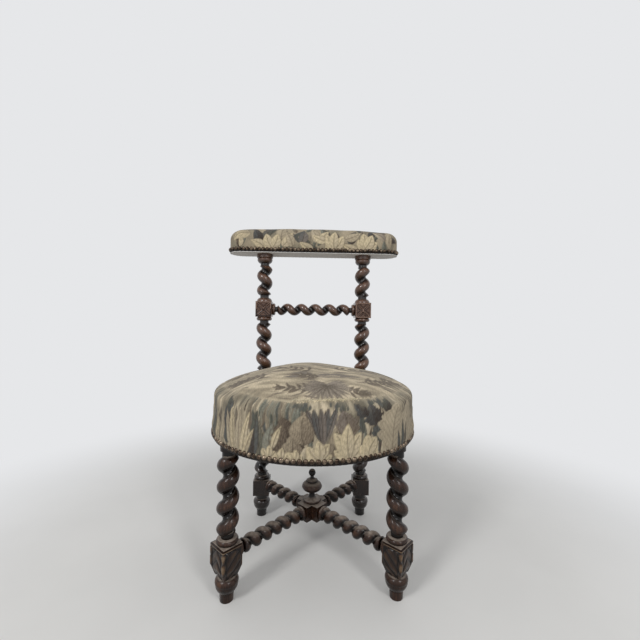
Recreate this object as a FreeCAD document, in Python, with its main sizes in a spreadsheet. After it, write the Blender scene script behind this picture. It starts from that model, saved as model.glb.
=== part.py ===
import FreeCAD, Part
import os
import re
import Sketcher
from math import atan2, cos, pi, sin, sqrt
from FreeCAD import Placement, Rotation, Vector

# A low smoking chair: barley-twist frame, round sprung seat and a padded crest rail.
# Millimetres. The chair faces -Y, +X is on its viewer's right, Z is up.

DIMENSIONS = {
    # seat drum
    "seat_centre_y": 0,
    "seat_radius": 225,
    "seat_bottom": 300,
    "seat_side_height": 102,
    "seat_dome_rise": 43,
    "seat_edge_round": 14,
    "cover_thickness": 2,
    "cloth_clearance": 0.3,
    # seat ring of four felloes
    "ring_width": 50,
    "ring_height": 55,
    "ring_dowel_diameter": 10,
    "ring_dowel_length": 50,
    "ring_dowel_spacing": 26,
    "bolt_diameter": 8,
    "bolt_length": 42,
    "bolt_head_diameter": 16,
    "bolt_head_height": 5,
    # springing
    "strap_width": 50,
    "strap_thickness": 1.5,
    "strap_spacing": 82,
    "strap_margin": 14,
    "tack_head_diameter": 7,
    "tack_head_height": 1,
    "tack_shank_diameter": 1.6,
    "tack_shank_length": 9,
    "tack_spacing": 24,
    "hessian_thickness": 1.5,
    "spring_diameter": 64,
    "spring_wire": 3.5,
    "spring_turns": 4,
    "spring_circle": 92,
    "springs_round_centre": 6,
    "bottom_cloth_thickness": 0.8,
    # where legs and posts stand, from the seat's centre
    "front_leg_angle": 53.35,
    "front_leg_inset": 16,
    "rear_post_angle": 38.46,
    "rear_post_inset": 1.5,
    # turned feet
    "foot_bottom_diameter": 26,
    "foot_peg_diameter": 28,
    "foot_peg_height": 18,
    "foot_ball_diameter": 44.5,
    "foot_ball_height": 34,
    "foot_neck_diameter": 31,
    "foot_ball_roundness": 0.75,
    "foot_height": 48,
    "rear_foot_height": 61,
    # square blocks left on the turnings
    "block_side": 42,
    "block_taper_height": 20,
    "block_taper_foot": 29,
    "block_height": 43,
    "rear_block_height": 41,
    "post_block_side": 44,
    "seat_block_above": 90,
    "seat_block_below": 10,
    "middle_block_height": 43,
    "cushion_roundness": 1.1,
    "cushion_inset": 0.5,
    # collars, necks and tenons
    "collar_diameter": 43,
    "collar_height": 11,
    "neck_length": 5,
    "neck_diameter": 24.5,
    "neck_overlap": 5,
    "leg_top_neck": 16,
    "leg_flange_diameter": 32,
    "leg_flange_height": 8,
    "leg_tenon_diameter": 18,
    "leg_tenon_length": 38,
    "capital_diameter": 45,
    "capital_height": 19,
    "capital_taper": 9,
    "capital_groove": 1.5,
    "capital_ring_share": 0.3,
    "capital_sweep": 1.4,
    "post_tenon_diameter": 16,
    "post_tenon_length": 17,
    # twists of legs and posts
    "twist_diameter": 43.5,
    "twist_core": 18.6,
    "twist_valley": 19,
    "twist_hollow": 7,
    "twist_pitch": 41.8,
    "twist_shoulder": 15,
    "back_twist_length": 135,
    "upper_twist_length": 86,
    # back cross rail
    "rail_diameter": 34,
    "rail_core": 8.6,
    "rail_valley": 9,
    "rail_hollow": 6,
    "rail_neck_diameter": 15.5,
    "rail_pitch": 39.3,
    "rail_shoulder": 13,
    "rail_end_length": 9,
    "rail_tenon_diameter": 12,
    "rail_tenon_length": 15,
    # crossing stretchers
    "stretcher_diameter": 32,
    "stretcher_core": 16,
    "stretcher_valley": 16.4,
    "stretcher_hollow": 3,
    "stretcher_pitch": 27.5,
    "stretcher_shoulder": 8,
    "stretcher_bead_length": 9,
    "stretcher_neck_length": 3,
    "stretcher_tenon_diameter": 18,
    "stretcher_tenon_length": 16,
    "hub_side": 34,
    "hub_reach": 33,
    # finial on the hub
    "finial_base_diameter": 40,
    "finial_base_height": 13,
    "finial_stem_diameter": 15,
    "finial_stem_height": 12,
    "finial_bulb_diameter": 49,
    "finial_bulb_height": 22,
    "finial_ring_diameter": 26,
    "finial_ring_height": 5,
    "finial_neck_diameter": 7,
    "finial_neck_height": 9,
    "finial_ball_diameter": 17,
    "finial_foot_roundness": 0.3,
    "finial_stem_sweep": 2,
    "finial_bulb_underside": 0.7,
    "finial_bulb_shoulder": 0.55,
    "finial_ring_roundness": 0.6,
    "finial_neck_sweep": 1.4,
    "finial_ball_underside": 0.5,
    "finial_ball_middle": 0.45,
    "finial_dowel_diameter": 10,
    "finial_dowel_length": 26,
    # padded crest rail
    "crest_width": 475,
    "crest_depth": 74,
    "crest_height": 68,
    "crest_round": 27,
    "crest_board_height": 22,
    "lining_thickness": 1,
    # domed nails
    "nail_head_diameter": 9.5,
    "nail_head_height": 3.2,
    "nail_shank_diameter": 1.8,
    "nail_shank_length": 6,
    "nail_pitch": 10.7,
    "nail_row_height": 8,
    # share of the pitch that a groove's cutter covers to each side, and how far cutters run past the wood
    "groove_reach": 0.46,
    "cutter_overrun": 1,
}

# Heights that add up from the sizes above.
HEIGHTS = {
    "seat_edge": "(seat_bottom + seat_side_height)",
    "seat_crown": "(seat_edge + seat_dome_rise)",
    "collar_and_neck": "(collar_height + neck_length)",
    "middle_block_bottom": "(seat_bottom + seat_block_above + 2 * collar_and_neck + back_twist_length)",
    "upper_twist_top": "(middle_block_bottom + middle_block_height + collar_and_neck + upper_twist_length)",
    "post_top": "(upper_twist_top + neck_length + capital_taper + capital_height)",
}

doc = FreeCAD.newDocument("smoking_chair")
size = doc.addObject("Spreadsheet::Sheet", "size")
for row, (alias, value) in enumerate(DIMENSIONS.items(), 1):
    size.set(f"A{row}", alias)
    size.set(f"B{row}", str(value))
    size.setAlias(f"B{row}", alias)
doc.recompute()

# Places that follow from the driving dimensions, written as formulas on the sheet's names.
FRONT_X = "((seat_radius - front_leg_inset) * sin(front_leg_angle * 1 deg))"
FRONT_Y = "((seat_radius - front_leg_inset) * cos(front_leg_angle * 1 deg))"
REAR_X = "((seat_radius - rear_post_inset) * sin(rear_post_angle * 1 deg))"
REAR_Y = "((seat_radius - rear_post_inset) * cos(rear_post_angle * 1 deg))"
SPAN_X = f"({FRONT_X} + {REAR_X})"
SPAN_Y = f"({FRONT_Y} + {REAR_Y})"
STRETCHER_SPAN = f"sqrt({SPAN_X} ^ 2 + {SPAN_Y} ^ 2)"
STRETCHER_ANGLE = f"atan2({SPAN_Y}; {SPAN_X})"
HUB_FROM_LEG = f"({STRETCHER_SPAN} * {FRONT_X} / {SPAN_X})"
FRONT_FACE = "(block_side / 2)"
REAR_FACE = f"({STRETCHER_SPAN} - post_block_side * sqrt(2) / 2)"
HUB_Y = f"(seat_centre_y - {FRONT_Y} + {SPAN_Y} * {FRONT_X} / {SPAN_X})"
BLOCK_BOTTOM = "(foot_height + block_taper_height)"
BLOCK_TOP = f"({BLOCK_BOTTOM} + block_height)"
STRETCHER_Z = f"({BLOCK_BOTTOM} + block_height / 2)"
RAIL_Z = "(middle_block_bottom + middle_block_height / 2)"
MIDDLE_TOP = "(middle_block_bottom + middle_block_height)"
SEAT_BLOCK_BOTTOM = "(seat_bottom - seat_block_below)"
SEAT_BLOCK_TOP = "(seat_bottom + seat_block_above)"
RING_TOP = "(seat_bottom + ring_height)"
RING_OUTER = "(seat_radius - cover_thickness - cloth_clearance)"
RING_INNER = f"({RING_OUTER} - ring_width)"
STRAP_REACH = f"({RING_INNER} + strap_margin)"
POST_COLLAR = "min(collar_diameter; post_block_side)"
CLOTH_NOTCH = "(post_block_side + 2 * cloth_clearance)"


def sized(formula):
    """Write out the added-up heights in a formula and point each sheet name at its cell."""
    def cell(word):
        name = word[0]
        if name in HEIGHTS:
            return sized(HEIGHTS[name])
        return f"size.{name}" if name in DIMENSIONS else name
    return re.sub(r"[a-z]\w+", cell, formula)


def number(formula):
    return float(size.evalExpression(sized(formula)))


def bind(item, name, formula):
    item.setExpression(name, sized(formula))


def place(item, x="0", y="0", z="0", turn=None):
    """Stand a piece at a point, turned about the vertical by an angle formula."""
    item.Placement = Placement(Vector(0, 0, 0), Rotation(Vector(0, 0, 1), 1))
    for axis, formula in zip("xyz", (x, y, z)):
        bind(item, f"Placement.Base.{axis}", formula)
    bind(item, "Placement.Rotation.Angle", turn or "0 * 1 deg")


def new_sketch(body, name, role):
    plane = [feature for feature in body.Origin.OriginFeatures if feature.Role == role][0]
    sketch = body.newObject("Sketcher::SketchObject", f"{body.Name}_{name}")
    sketch.AttachmentSupport = (plane, [""])
    sketch.MapMode = "FlatFace"
    return sketch


def arc_between(start, end, bulge, side):
    """Arc of a set radius between two points, and whether it runs from start to end."""
    chord = end - start
    across = Vector(chord.y, -chord.x, 0) * (side / chord.Length)
    rise = sqrt(max(bulge ** 2 - chord.Length ** 2 / 4, 0))
    centre = (start + end) / 2 - across * rise
    first, last = (start, end) if side > 0 else (end, start)
    angles = [atan2(point.y - centre.y, point.x - centre.x) for point in (first, last)]
    if angles[1] < angles[0]:
        angles[1] += 2 * pi
    circle = Part.Circle(centre, Vector(0, 0, 1), bulge)
    return Part.ArcOfCircle(circle, *angles), side > 0


def draw_outline(sketch, outline, axis):
    """Closed outline of (radius, height, bulge) formulas; bulge rounds the side that follows."""
    upright = axis == "V_Axis"
    points = []
    for radius, height, bulge in outline:
        pair = (number(radius), number(height))
        points.append(Vector(*pair, 0) if upright else Vector(*pair[::-1], 0))
    first = sketch.GeometryCount
    geometry = []
    ends = []
    for index, (radius, height, bulge) in enumerate(outline):
        start, end = points[index], points[(index + 1) % len(points)]
        if bulge:
            side = 1 if (number(bulge) > 0) == upright else -1
            arc, forward = arc_between(start, end, abs(number(bulge)), side)
            geometry.append(arc)
            ends.append((1, 2) if forward else (2, 1))
        else:
            geometry.append(Part.LineSegment(start, end))
            ends.append((1, 2))
    sketch.addGeometry(geometry, False)
    rules = []
    bound = []
    for index, (radius, height, bulge) in enumerate(outline):
        curve = first + index
        following = (index + 1) % len(outline)
        rules.append(Sketcher.Constraint("Coincident", curve, ends[index][1],
                                         first + following, ends[following][0]))
        across, along = ("DistanceX", "DistanceY") if upright else ("DistanceY", "DistanceX")
        for kind, formula in ((across, radius), (along, height)):
            bound.append((len(rules), formula))
            rules.append(Sketcher.Constraint(kind, -1, 1, curve, ends[index][0], number(formula)))
        if bulge:
            bound.append((len(rules), f"abs({bulge})"))
            rules.append(Sketcher.Constraint("Radius", curve, abs(number(bulge))))
    offset = sketch.ConstraintCount
    sketch.addConstraint(rules)
    for index, formula in bound:
        bind(sketch, f"Constraints[{offset + index}]", formula)


def turn(body, name, outlines, axis="V_Axis"):
    """Turn one or more outlines about the body's axis and add them to the piece."""
    sketch = new_sketch(body, name, "XZ_Plane")
    for outline in outlines:
        draw_outline(sketch, outline, axis)
    turned = body.newObject("PartDesign::Revolution", f"{body.Name}_{name}_turned")
    turned.Profile = sketch
    turned.ReferenceAxis = (sketch, [axis])
    turned.Angle = 360
    doc.recompute()
    return turned


def block(body, name, side, bottom, height, plane="XY_Plane"):
    """Square block centred on the body's axis."""
    sketch = new_sketch(body, name, plane)
    half = number(side) / 2
    corners = [Vector(x * half, y * half, 0) for x, y in ((-1, -1), (1, -1), (1, 1), (-1, 1))]
    for index, corner in enumerate(corners):
        sketch.addGeometry(Part.LineSegment(corner, corners[(index + 1) % 4]), False)
    rules = [Sketcher.Constraint("Coincident", index, 2, (index + 1) % 4, 1) for index in range(4)]
    rules += [Sketcher.Constraint(kind, index) for kind, index in
              (("Horizontal", 0), ("Vertical", 1), ("Horizontal", 2), ("Vertical", 3))]
    rules.append(Sketcher.Constraint("Symmetric", 0, 1, 1, 2, -1, 1))
    rules.append(Sketcher.Constraint("DistanceX", 0, 1, 0, 2, 2 * half))
    rules.append(Sketcher.Constraint("DistanceY", 1, 1, 1, 2, 2 * half))
    sketch.addConstraint(rules)
    for index in (len(rules) - 2, len(rules) - 1):
        bind(sketch, f"Constraints[{index}]", side)
    bind(sketch, "AttachmentOffset.Base.z", bottom)
    if not height:
        return sketch
    pad = body.newObject("PartDesign::Pad", f"{body.Name}_{name}_block")
    pad.Profile = sketch
    bind(pad, "Length", height)
    doc.recompute()
    return pad


def twist_blank(kind, bottom, top):
    """Outline points of the fat part of a spindle that a twist is carved from."""
    fat, core, shoulder = f"{kind}_diameter / 2", f"{kind}_core / 2", f"{kind}_shoulder"
    depth = f"({kind}_diameter - {kind}_core) / 2"
    rounding = f"(({depth}) ^ 2 + {shoulder} ^ 2) / (2 * {depth})"
    return [(core, bottom, rounding), (fat, f"{bottom} + {shoulder}", ""),
            (fat, f"{top} - {shoulder}", rounding), (core, top, "")]


LEAST_CARVED = 0.05
MOST_CARVED = 0.6
WHOLE_TURNS = (0, 1, 2)


def twist_groove(body, name, kind, bottom, top, left_handed, phase, axis="V_Axis"):
    """Carve one helical groove: a hollow that runs smoothly into the round lobes beside it."""
    pitch, half_width = f"{kind}_pitch", f"{kind}_pitch * groove_reach"
    depth, hollow = f"(({kind}_diameter - {kind}_valley) / 2)", f"{kind}_hollow"
    both = f"((({pitch} / 2) ^ 2 + {depth} ^ 2) / (2 * {depth}))"
    lobe = f"({both} - {hollow})"
    edge = f"{kind}_diameter / 2 - {lobe} + sqrt({lobe} ^ 2 - ({pitch} / 2 - {half_width}) ^ 2)"
    meet = f"{kind}_valley / 2 + {hollow} + ({depth} - {both}) * {hollow} / {both}"
    meet_offset = f"{pitch} / 2 * {hollow} / {both}"
    outside = f"{kind}_diameter / 2 + cutter_overrun"
    run_out = f"{pitch} * {0.5 + phase}"
    start = f"({bottom} - {run_out})"
    outline = [(meet, f"{start} - {meet_offset}", f"-{hollow}"), (meet, f"{start} + {meet_offset}", lobe),
               (edge, f"{start} + {half_width}", ""), (outside, f"{start} + {half_width}", ""),
               (outside, f"{start} - {half_width}", ""), (edge, f"{start} - {half_width}", lobe)]
    sketch = new_sketch(body, name, "XZ_Plane")
    draw_outline(sketch, outline, axis)
    groove = body.newObject("PartDesign::SubtractiveHelix", f"{body.Name}_{name}_groove")
    groove.Profile = sketch
    groove.ReferenceAxis = (sketch, [axis])
    groove.Mode = 0
    groove.LeftHanded = left_handed
    bind(groove, "Pitch", pitch)
    before = body.Shape.Volume
    # begun whole turns sooner, the sweep carves the same groove with its seams elsewhere
    for turns in WHOLE_TURNS:
        bind(sketch, f"AttachmentOffset.Base.{'y' if axis == 'V_Axis' else 'x'}", f"-{turns} * {pitch}")
        bind(groove, "Height", f"{top} - {bottom} + {run_out} + {pitch} * ({turns} + 1 / 2)")
        doc.recompute()
        sound = not groove.Shape.isNull() and groove.Shape.isValid()
        if sound and LEAST_CARVED * before < before - groove.Shape.Volume < MOST_CARVED * before:
            return
    raise RuntimeError(f"{body.Name}: groove {name} isn't carved")


BEAD_ROUND = 0.52
BEAD_RISE = BEAD_ROUND - sqrt(BEAD_ROUND ** 2 - 0.25)


def bead(radius, bottom, height):
    """Outline of a nearly half-round collar."""
    inner = f"{radius} - {height} * {BEAD_RISE}"
    return [("0", bottom, ""), (inner, bottom, f"{height} * {BEAD_ROUND}"),
            (inner, f"{bottom} + {height}", ""), ("0", f"{bottom} + {height}", "")]


def neck(diameter, bottom, top):
    """Outline of a plain round length."""
    return [("0", bottom, ""), (f"{diameter} / 2", bottom, ""), (f"{diameter} / 2", top, ""), ("0", top, "")]


def necks(diameter, twist, reach):
    """Outlines of the plain necks that close both ends of a twist."""
    low, high = twist
    return [neck(diameter, f"({low} - {reach})", f"({low} + neck_overlap)"),
            neck(diameter, f"({high} - neck_overlap)", f"({high} + {reach})")]


def cushion(bottom):
    """Outline of the rounded shoulder turned on top of a square block."""
    reach = "(post_block_side / 2 - cushion_inset)"
    return [("0", bottom, ""), (reach, bottom, "collar_height * cushion_roundness"),
            ("neck_diameter / 2", f"{bottom} + collar_height", ""), ("0", f"{bottom} + collar_height", "")]


def foot(height):
    """Outline of a turned foot: a short peg, a ball over it and the neck under its block."""
    peg, ball, stem = "foot_peg_diameter / 2", "foot_ball_diameter / 2", "foot_neck_diameter / 2"
    swell = f"({ball} - {peg})"
    lower, upper = "(foot_ball_height - foot_peg_height)", "(foot_height - foot_ball_height)"
    return [("0", "0", ""), ("foot_bottom_diameter / 2", "0", ""),
            (peg, "foot_peg_height", f"({swell} ^ 2 + {lower} ^ 2) / (2 * {swell})"),
            (ball, "foot_ball_height", f"{upper} * foot_ball_roundness"),
            (stem, "foot_height", ""), (stem, height, ""), ("0", height, "")]


def cylinder(name, diameter, length, axis, centre, turn_angle=None):
    """Round tool that starts at a point and runs along an axis, turned about the vertical."""
    rod = doc.addObject("Part::Cylinder", name)
    bind(rod, "Radius", f"({diameter}) / 2")
    bind(rod, "Height", length)
    if axis == "z":
        place(rod, *centre)
        return rod
    # lay the rod along X inside a carrier, then turn the carrier
    rod.Placement = Placement(Vector(0, 0, 0), Rotation(Vector(0, 1, 0), 90))
    carrier = doc.addObject("Part::Compound", f"{name}_carrier")
    carrier.Links = [rod]
    place(carrier, *centre, turn=turn_angle)
    return carrier


def cut(name, base, tools):
    """Cut a list of tools out of a piece; the result is the finished piece."""
    tool = tools[0]
    if len(tools) > 1:
        tool = doc.addObject("Part::Compound", f"{name}_tools")
        tool.Links = tools
    result = doc.addObject("Part::Cut", name)
    result.Base = base
    result.Tool = tool
    doc.recompute()
    if result.Shape.Volume >= base.Shape.Volume:
        raise RuntimeError(f"{name}: the cut removes nothing")
    return result


nodes = []


def keep(item, label):
    item.Label = label
    nodes.append(item)
    return item


SIDES = (("left", -1), ("right", 1))

# Stretcher tenons, as tools for the mortises in the leg and post blocks.
leg_mortises = {}
post_mortises = {}
for side, sign in SIDES:
    other = "right" if side == "left" else "left"
    inner_face = "(block_side / 2 - stretcher_tenon_length)"
    heading = STRETCHER_ANGLE if sign < 0 else f"180 * 1 deg - {STRETCHER_ANGLE}"
    foot_x = f"{sign} * {FRONT_X}"
    foot_y = f"seat_centre_y - {FRONT_Y}"
    along_x, along_y = f"cos({heading})", f"sin({heading})"
    leg_mortises[side] = cylinder(
        f"leg_mortise_{side}", "stretcher_tenon_diameter", "stretcher_tenon_length", "x",
        (f"{foot_x} + {inner_face} * {along_x}", f"{foot_y} + {inner_face} * {along_y}", STRETCHER_Z),
        heading)
    rear_start = f"({REAR_FACE} - cutter_overrun)"
    post_mortises[other] = cylinder(
        f"post_mortise_{other}", "stretcher_tenon_diameter", "stretcher_tenon_length + cutter_overrun", "x",
        (f"{foot_x} + {rear_start} * {along_x}", f"{foot_y} + {rear_start} * {along_y}", STRETCHER_Z),
        heading)

# Front legs: ball foot, tapered carved block, collar, twist, neck, flange and tenon in one piece.
TWIST_FROM = f"({BLOCK_TOP} + collar_height + neck_length)"
TWIST_TO = "(seat_bottom - leg_top_neck)"
LEG_PHASE = {"left": 0.166, "right": 0.796}
for side, sign in SIDES:
    leg = doc.addObject("PartDesign::Body", f"leg_{side}")
    turn(leg, "spindle", [[("0", BLOCK_BOTTOM, ""), ("twist_core / 2", BLOCK_BOTTOM, ""),
                           *twist_blank("twist", TWIST_FROM, TWIST_TO),
                           ("twist_core / 2", "seat_bottom", ""), ("0", "seat_bottom", "")]])
    twist_groove(leg, "twist", "twist", TWIST_FROM, TWIST_TO, sign > 0, LEG_PHASE[side])
    block(leg, "carved", "block_side", BLOCK_BOTTOM, "block_height")
    taper = block(leg, "taper_top", "block_side", BLOCK_BOTTOM, "")
    taper_foot = block(leg, "taper_foot", "block_taper_foot", "foot_height", "")
    loft = leg.newObject("PartDesign::AdditiveLoft", f"leg_{side}_taper")
    loft.Profile = taper
    loft.Sections = [taper_foot]
    loft.Ruled = True
    turn(leg, "necks", necks("neck_diameter", (TWIST_FROM, TWIST_TO), "neck_length"))
    turn(leg, "turnings", [foot(BLOCK_BOTTOM), bead("collar_diameter / 2", BLOCK_TOP, "collar_height"),
                           neck("neck_diameter", TWIST_TO, "seat_bottom - cutter_overrun"),
                           [("0", "seat_bottom - leg_flange_height", ""),
                            ("leg_flange_diameter / 2", "seat_bottom - leg_flange_height", ""),
                            ("leg_flange_diameter / 2", "seat_bottom", ""),
                            ("leg_tenon_diameter / 2", "seat_bottom", ""),
                            ("leg_tenon_diameter / 2", "seat_bottom + leg_tenon_length", ""),
                            ("0", "seat_bottom + leg_tenon_length", "")]])
    place(leg, f"{sign} * {FRONT_X}", f"seat_centre_y - {FRONT_Y}", "0", f"{-sign} * {STRETCHER_ANGLE}")
    keep(cut(f"front_leg_{side}", leg, [leg_mortises[side]]), f"front_leg_{side}")

# Back cross rail: a twisted rail with half-round ends, tenoned into the posts' middle blocks.
RAIL_SPAN = f"(2 * {REAR_X} - post_block_side)"
RAIL_START = "(rail_tenon_length)"
RAIL_END = f"(rail_tenon_length + {RAIL_SPAN})"
RAIL_TWIST = (f"({RAIL_START} + rail_end_length + neck_length)",
              f"({RAIL_END} - rail_end_length - neck_length)")
RAIL_PHASE = 0.265
rail = doc.addObject("PartDesign::Body", "cross_rail")
turn(rail, "spindle", [[("0", "0", ""), ("rail_tenon_diameter / 2", "0", ""),
                        ("rail_tenon_diameter / 2", RAIL_START, ""), ("rail_core / 2", RAIL_START, ""),
                        *twist_blank("rail", *RAIL_TWIST),
                        ("rail_core / 2", RAIL_END, ""), ("rail_tenon_diameter / 2", RAIL_END, ""),
                        ("rail_tenon_diameter / 2", f"{RAIL_END} + rail_tenon_length", ""),
                        ("0", f"{RAIL_END} + rail_tenon_length", "")]], "H_Axis")
twist_groove(rail, "twist", "rail", *RAIL_TWIST, False, RAIL_PHASE, "H_Axis")
turn(rail, "necks", necks("rail_neck_diameter", RAIL_TWIST, "neck_length"), "H_Axis")
turn(rail, "ends", [bead("rail_diameter / 2", start, "rail_end_length")
                    for start in (RAIL_START, f"({RAIL_END} - rail_end_length)")], "H_Axis")
place(rail, f"-{RAIL_END} + {RAIL_SPAN} / 2", f"seat_centre_y + {REAR_Y}", RAIL_Z)
keep(rail, "back_cross_rail")

# Bolts that draw the seat ring to the rear posts, heads on the ring's inner face.
BOLT_SEAT = f"({RING_INNER} - bolt_head_diameter ^ 2 / (8 * {RING_INNER}))"
bolts = []
for side, sign in SIDES:
    heading = f"(90 - {sign} * rear_post_angle) * 1 deg"
    rods = []
    for name, diameter, start, length in (
            ("shank", "bolt_diameter", f"({BOLT_SEAT} - bolt_head_height / 2)",
             "bolt_length + bolt_head_height / 2"),
            ("head", "bolt_head_diameter", f"({BOLT_SEAT} - bolt_head_height)", "bolt_head_height")):
        rods.append(cylinder(f"bolt_{name}_{side}", diameter, length, "x",
                             (f"{start} * cos({heading})", f"seat_centre_y + {start} * sin({heading})",
                              "seat_bottom + ring_height / 2"), heading))
    bolt = doc.addObject("Part::Fuse", f"bolt_{side}")
    bolt.Base, bolt.Tool = rods
    bolts.append(bolt)
ring_bolts = doc.addObject("Part::Compound", "ring_bolts")
ring_bolts.Links = bolts
doc.recompute()
keep(ring_bolts, "ring_bolts")

# Rear posts: one piece from the floor to the crest, with three twists between square blocks.
POST_TWISTS = (
    ("(rear_foot_height + rear_block_height + collar_height + neck_length)",
     f"({SEAT_BLOCK_BOTTOM} - collar_height - neck_length)"),
    (f"({SEAT_BLOCK_TOP} + collar_height + neck_length)",
     "(middle_block_bottom - collar_height - neck_length)"),
    (f"({MIDDLE_TOP} + collar_height + neck_length)",
     "upper_twist_top"),
)
POST_PHASE = {"left": (0.2, 0.619, 0.119), "right": (0.2, 0.357, 0.07)}
CAPITAL_FOOT = "(post_top - capital_height)"
CAPITAL_RING = f"({CAPITAL_FOOT} + capital_height * capital_ring_share)"
for side, sign in SIDES:
    post = doc.addObject("PartDesign::Body", f"post_{side}")
    blanks = [point for low, high in POST_TWISTS for point in twist_blank("twist", low, high)]
    turn(post, "spindle", [[("0", "rear_foot_height", ""), ("twist_core / 2", "rear_foot_height", ""),
                            *blanks, ("twist_core / 2", "post_top", ""), ("0", "post_top", "")]])
    for index, (low, high) in enumerate(POST_TWISTS):
        twist_groove(post, f"twist_{index + 1}", "twist", low, high, sign < 0, POST_PHASE[side][index])
    block(post, "lower", "post_block_side", "rear_foot_height", "rear_block_height")
    block(post, "seat", "post_block_side", SEAT_BLOCK_BOTTOM, "seat_block_below + seat_block_above")
    block(post, "middle", "post_block_side", "middle_block_bottom", "middle_block_height")
    collars = ["(rear_foot_height + rear_block_height)", f"({SEAT_BLOCK_BOTTOM} - collar_height)",
               SEAT_BLOCK_TOP, "(middle_block_bottom - collar_height)"]
    turn(post, "turnings", [
        foot("rear_foot_height"),
        *[bead(f"{POST_COLLAR} / 2", bottom, "collar_height") for bottom in collars],
        cushion(MIDDLE_TOP)])
    for index, twist in enumerate(POST_TWISTS):
        turn(post, f"necks_{index + 1}", necks("neck_diameter", twist, "neck_length"))
    turn(post, "capital", [[
        ("0", f"{CAPITAL_FOOT} - capital_taper", ""),
        ("neck_diameter / 2", f"{CAPITAL_FOOT} - capital_taper", "capital_taper * capital_sweep"),
        ("capital_diameter / 2 - capital_groove", CAPITAL_FOOT, ""),
        ("capital_diameter / 2 - capital_groove", f"{CAPITAL_RING} - capital_groove", ""),
        ("capital_diameter / 2 - 2 * capital_groove", CAPITAL_RING, ""),
        ("capital_diameter / 2", f"{CAPITAL_RING} + capital_groove", ""),
        ("capital_diameter / 2", "post_top", ""), ("post_tenon_diameter / 2", "post_top", ""),
        ("post_tenon_diameter / 2", "post_top + post_tenon_length", ""),
        ("0", "post_top + post_tenon_length", "")]])
    place(post, f"{sign} * {REAR_X}", f"seat_centre_y + {REAR_Y}")
    rail_face = f"({REAR_X} - post_block_side / 2)"
    rail_mortise_start = rail_face if sign > 0 else f"(-{rail_face} - rail_tenon_length)"
    rail_mortise = cylinder(f"rail_mortise_{side}", "rail_tenon_diameter", "rail_tenon_length", "x",
                            (rail_mortise_start, f"seat_centre_y + {REAR_Y}", RAIL_Z))
    bolt = bolts[0] if sign < 0 else bolts[1]
    keep(cut(f"rear_post_{side}", post, [post_mortises[side], rail_mortise, bolt]), f"rear_post_{side}")

# Crossing stretchers: twisted arms on square centres that halve over each other at the hub.
HUB_TOP = f"({STRETCHER_Z} + hub_side / 2)"
finial_hole = cylinder("finial_hole", "finial_dowel_diameter", "finial_dowel_length", "z",
                       ("0", HUB_Y, f"{HUB_TOP} - finial_dowel_length"))
ARM_END = "stretcher_bead_length + stretcher_neck_length"
ARMS = ((f"({FRONT_FACE} + {ARM_END})", f"({HUB_FROM_LEG} - hub_reach - {ARM_END})"),
        (f"({HUB_FROM_LEG} + hub_reach + {ARM_END})", f"({REAR_FACE} - {ARM_END})"))
STRETCHER_PHASE = 0.1
LAP_LENGTH = "(3 * hub_reach)"
for name, sign, lap_bottom in (("over", -1, f"{STRETCHER_Z} - hub_side"), ("under", 1, STRETCHER_Z)):
    bar = doc.addObject("PartDesign::Body", f"stretcher_{name}_bar")
    arms = [point for low, high in ARMS for point in twist_blank("stretcher", low, high)]
    tenons = [neck("stretcher_tenon_diameter", f"({FRONT_FACE} - stretcher_tenon_length)",
                   f"({FRONT_FACE} + cutter_overrun)"),
              neck("stretcher_tenon_diameter", f"({REAR_FACE} - cutter_overrun)",
                   f"({REAR_FACE} + stretcher_tenon_length)")]
    turn(bar, "spindle", [[("0", FRONT_FACE, ""), ("stretcher_core / 2", FRONT_FACE, ""), *arms,
                           ("stretcher_core / 2", REAR_FACE, ""), ("0", REAR_FACE, "")]], "H_Axis")
    for index, (low, high) in enumerate(ARMS):
        twist_groove(bar, f"twist_{index + 1}", "stretcher", low, high, sign > 0, STRETCHER_PHASE, "H_Axis")
    block(bar, "hub", "hub_side", f"{HUB_FROM_LEG} - hub_reach", "2 * hub_reach", "YZ_Plane")
    bead_starts = [FRONT_FACE, f"({HUB_FROM_LEG} - hub_reach - stretcher_bead_length)",
                   f"({HUB_FROM_LEG} + hub_reach)", f"({REAR_FACE} - stretcher_bead_length)"]
    turn(bar, "beads", [bead("stretcher_diameter / 2", start, "stretcher_bead_length")
                        for start in bead_starts], "H_Axis")
    turn(bar, "tenons", tenons, "H_Axis")
    heading = STRETCHER_ANGLE if sign < 0 else f"180 * 1 deg - {STRETCHER_ANGLE}"
    crossing = STRETCHER_ANGLE if sign > 0 else f"180 * 1 deg - {STRETCHER_ANGLE}"
    place(bar, f"{sign} * {FRONT_X}", f"seat_centre_y - {FRONT_Y}", STRETCHER_Z, heading)
    lap = doc.addObject("Part::Box", f"lap_{name}")
    for prop, formula in (("Length", LAP_LENGTH), ("Width", "hub_side"), ("Height", "hub_side"),
                          ("Placement.Base.x", f"-{LAP_LENGTH} / 2"), ("Placement.Base.y", "-hub_side / 2")):
        bind(lap, prop, formula)
    lap_carrier = doc.addObject("Part::Compound", f"lap_{name}_carrier")
    lap_carrier.Links = [lap]
    place(lap_carrier, "0", HUB_Y, lap_bottom, crossing)
    halved = cut(f"stretcher_{name}_halved", bar, [lap_carrier])
    keep(cut(f"stretcher_{name}", halved, [finial_hole]), f"stretcher_{name}")

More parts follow.
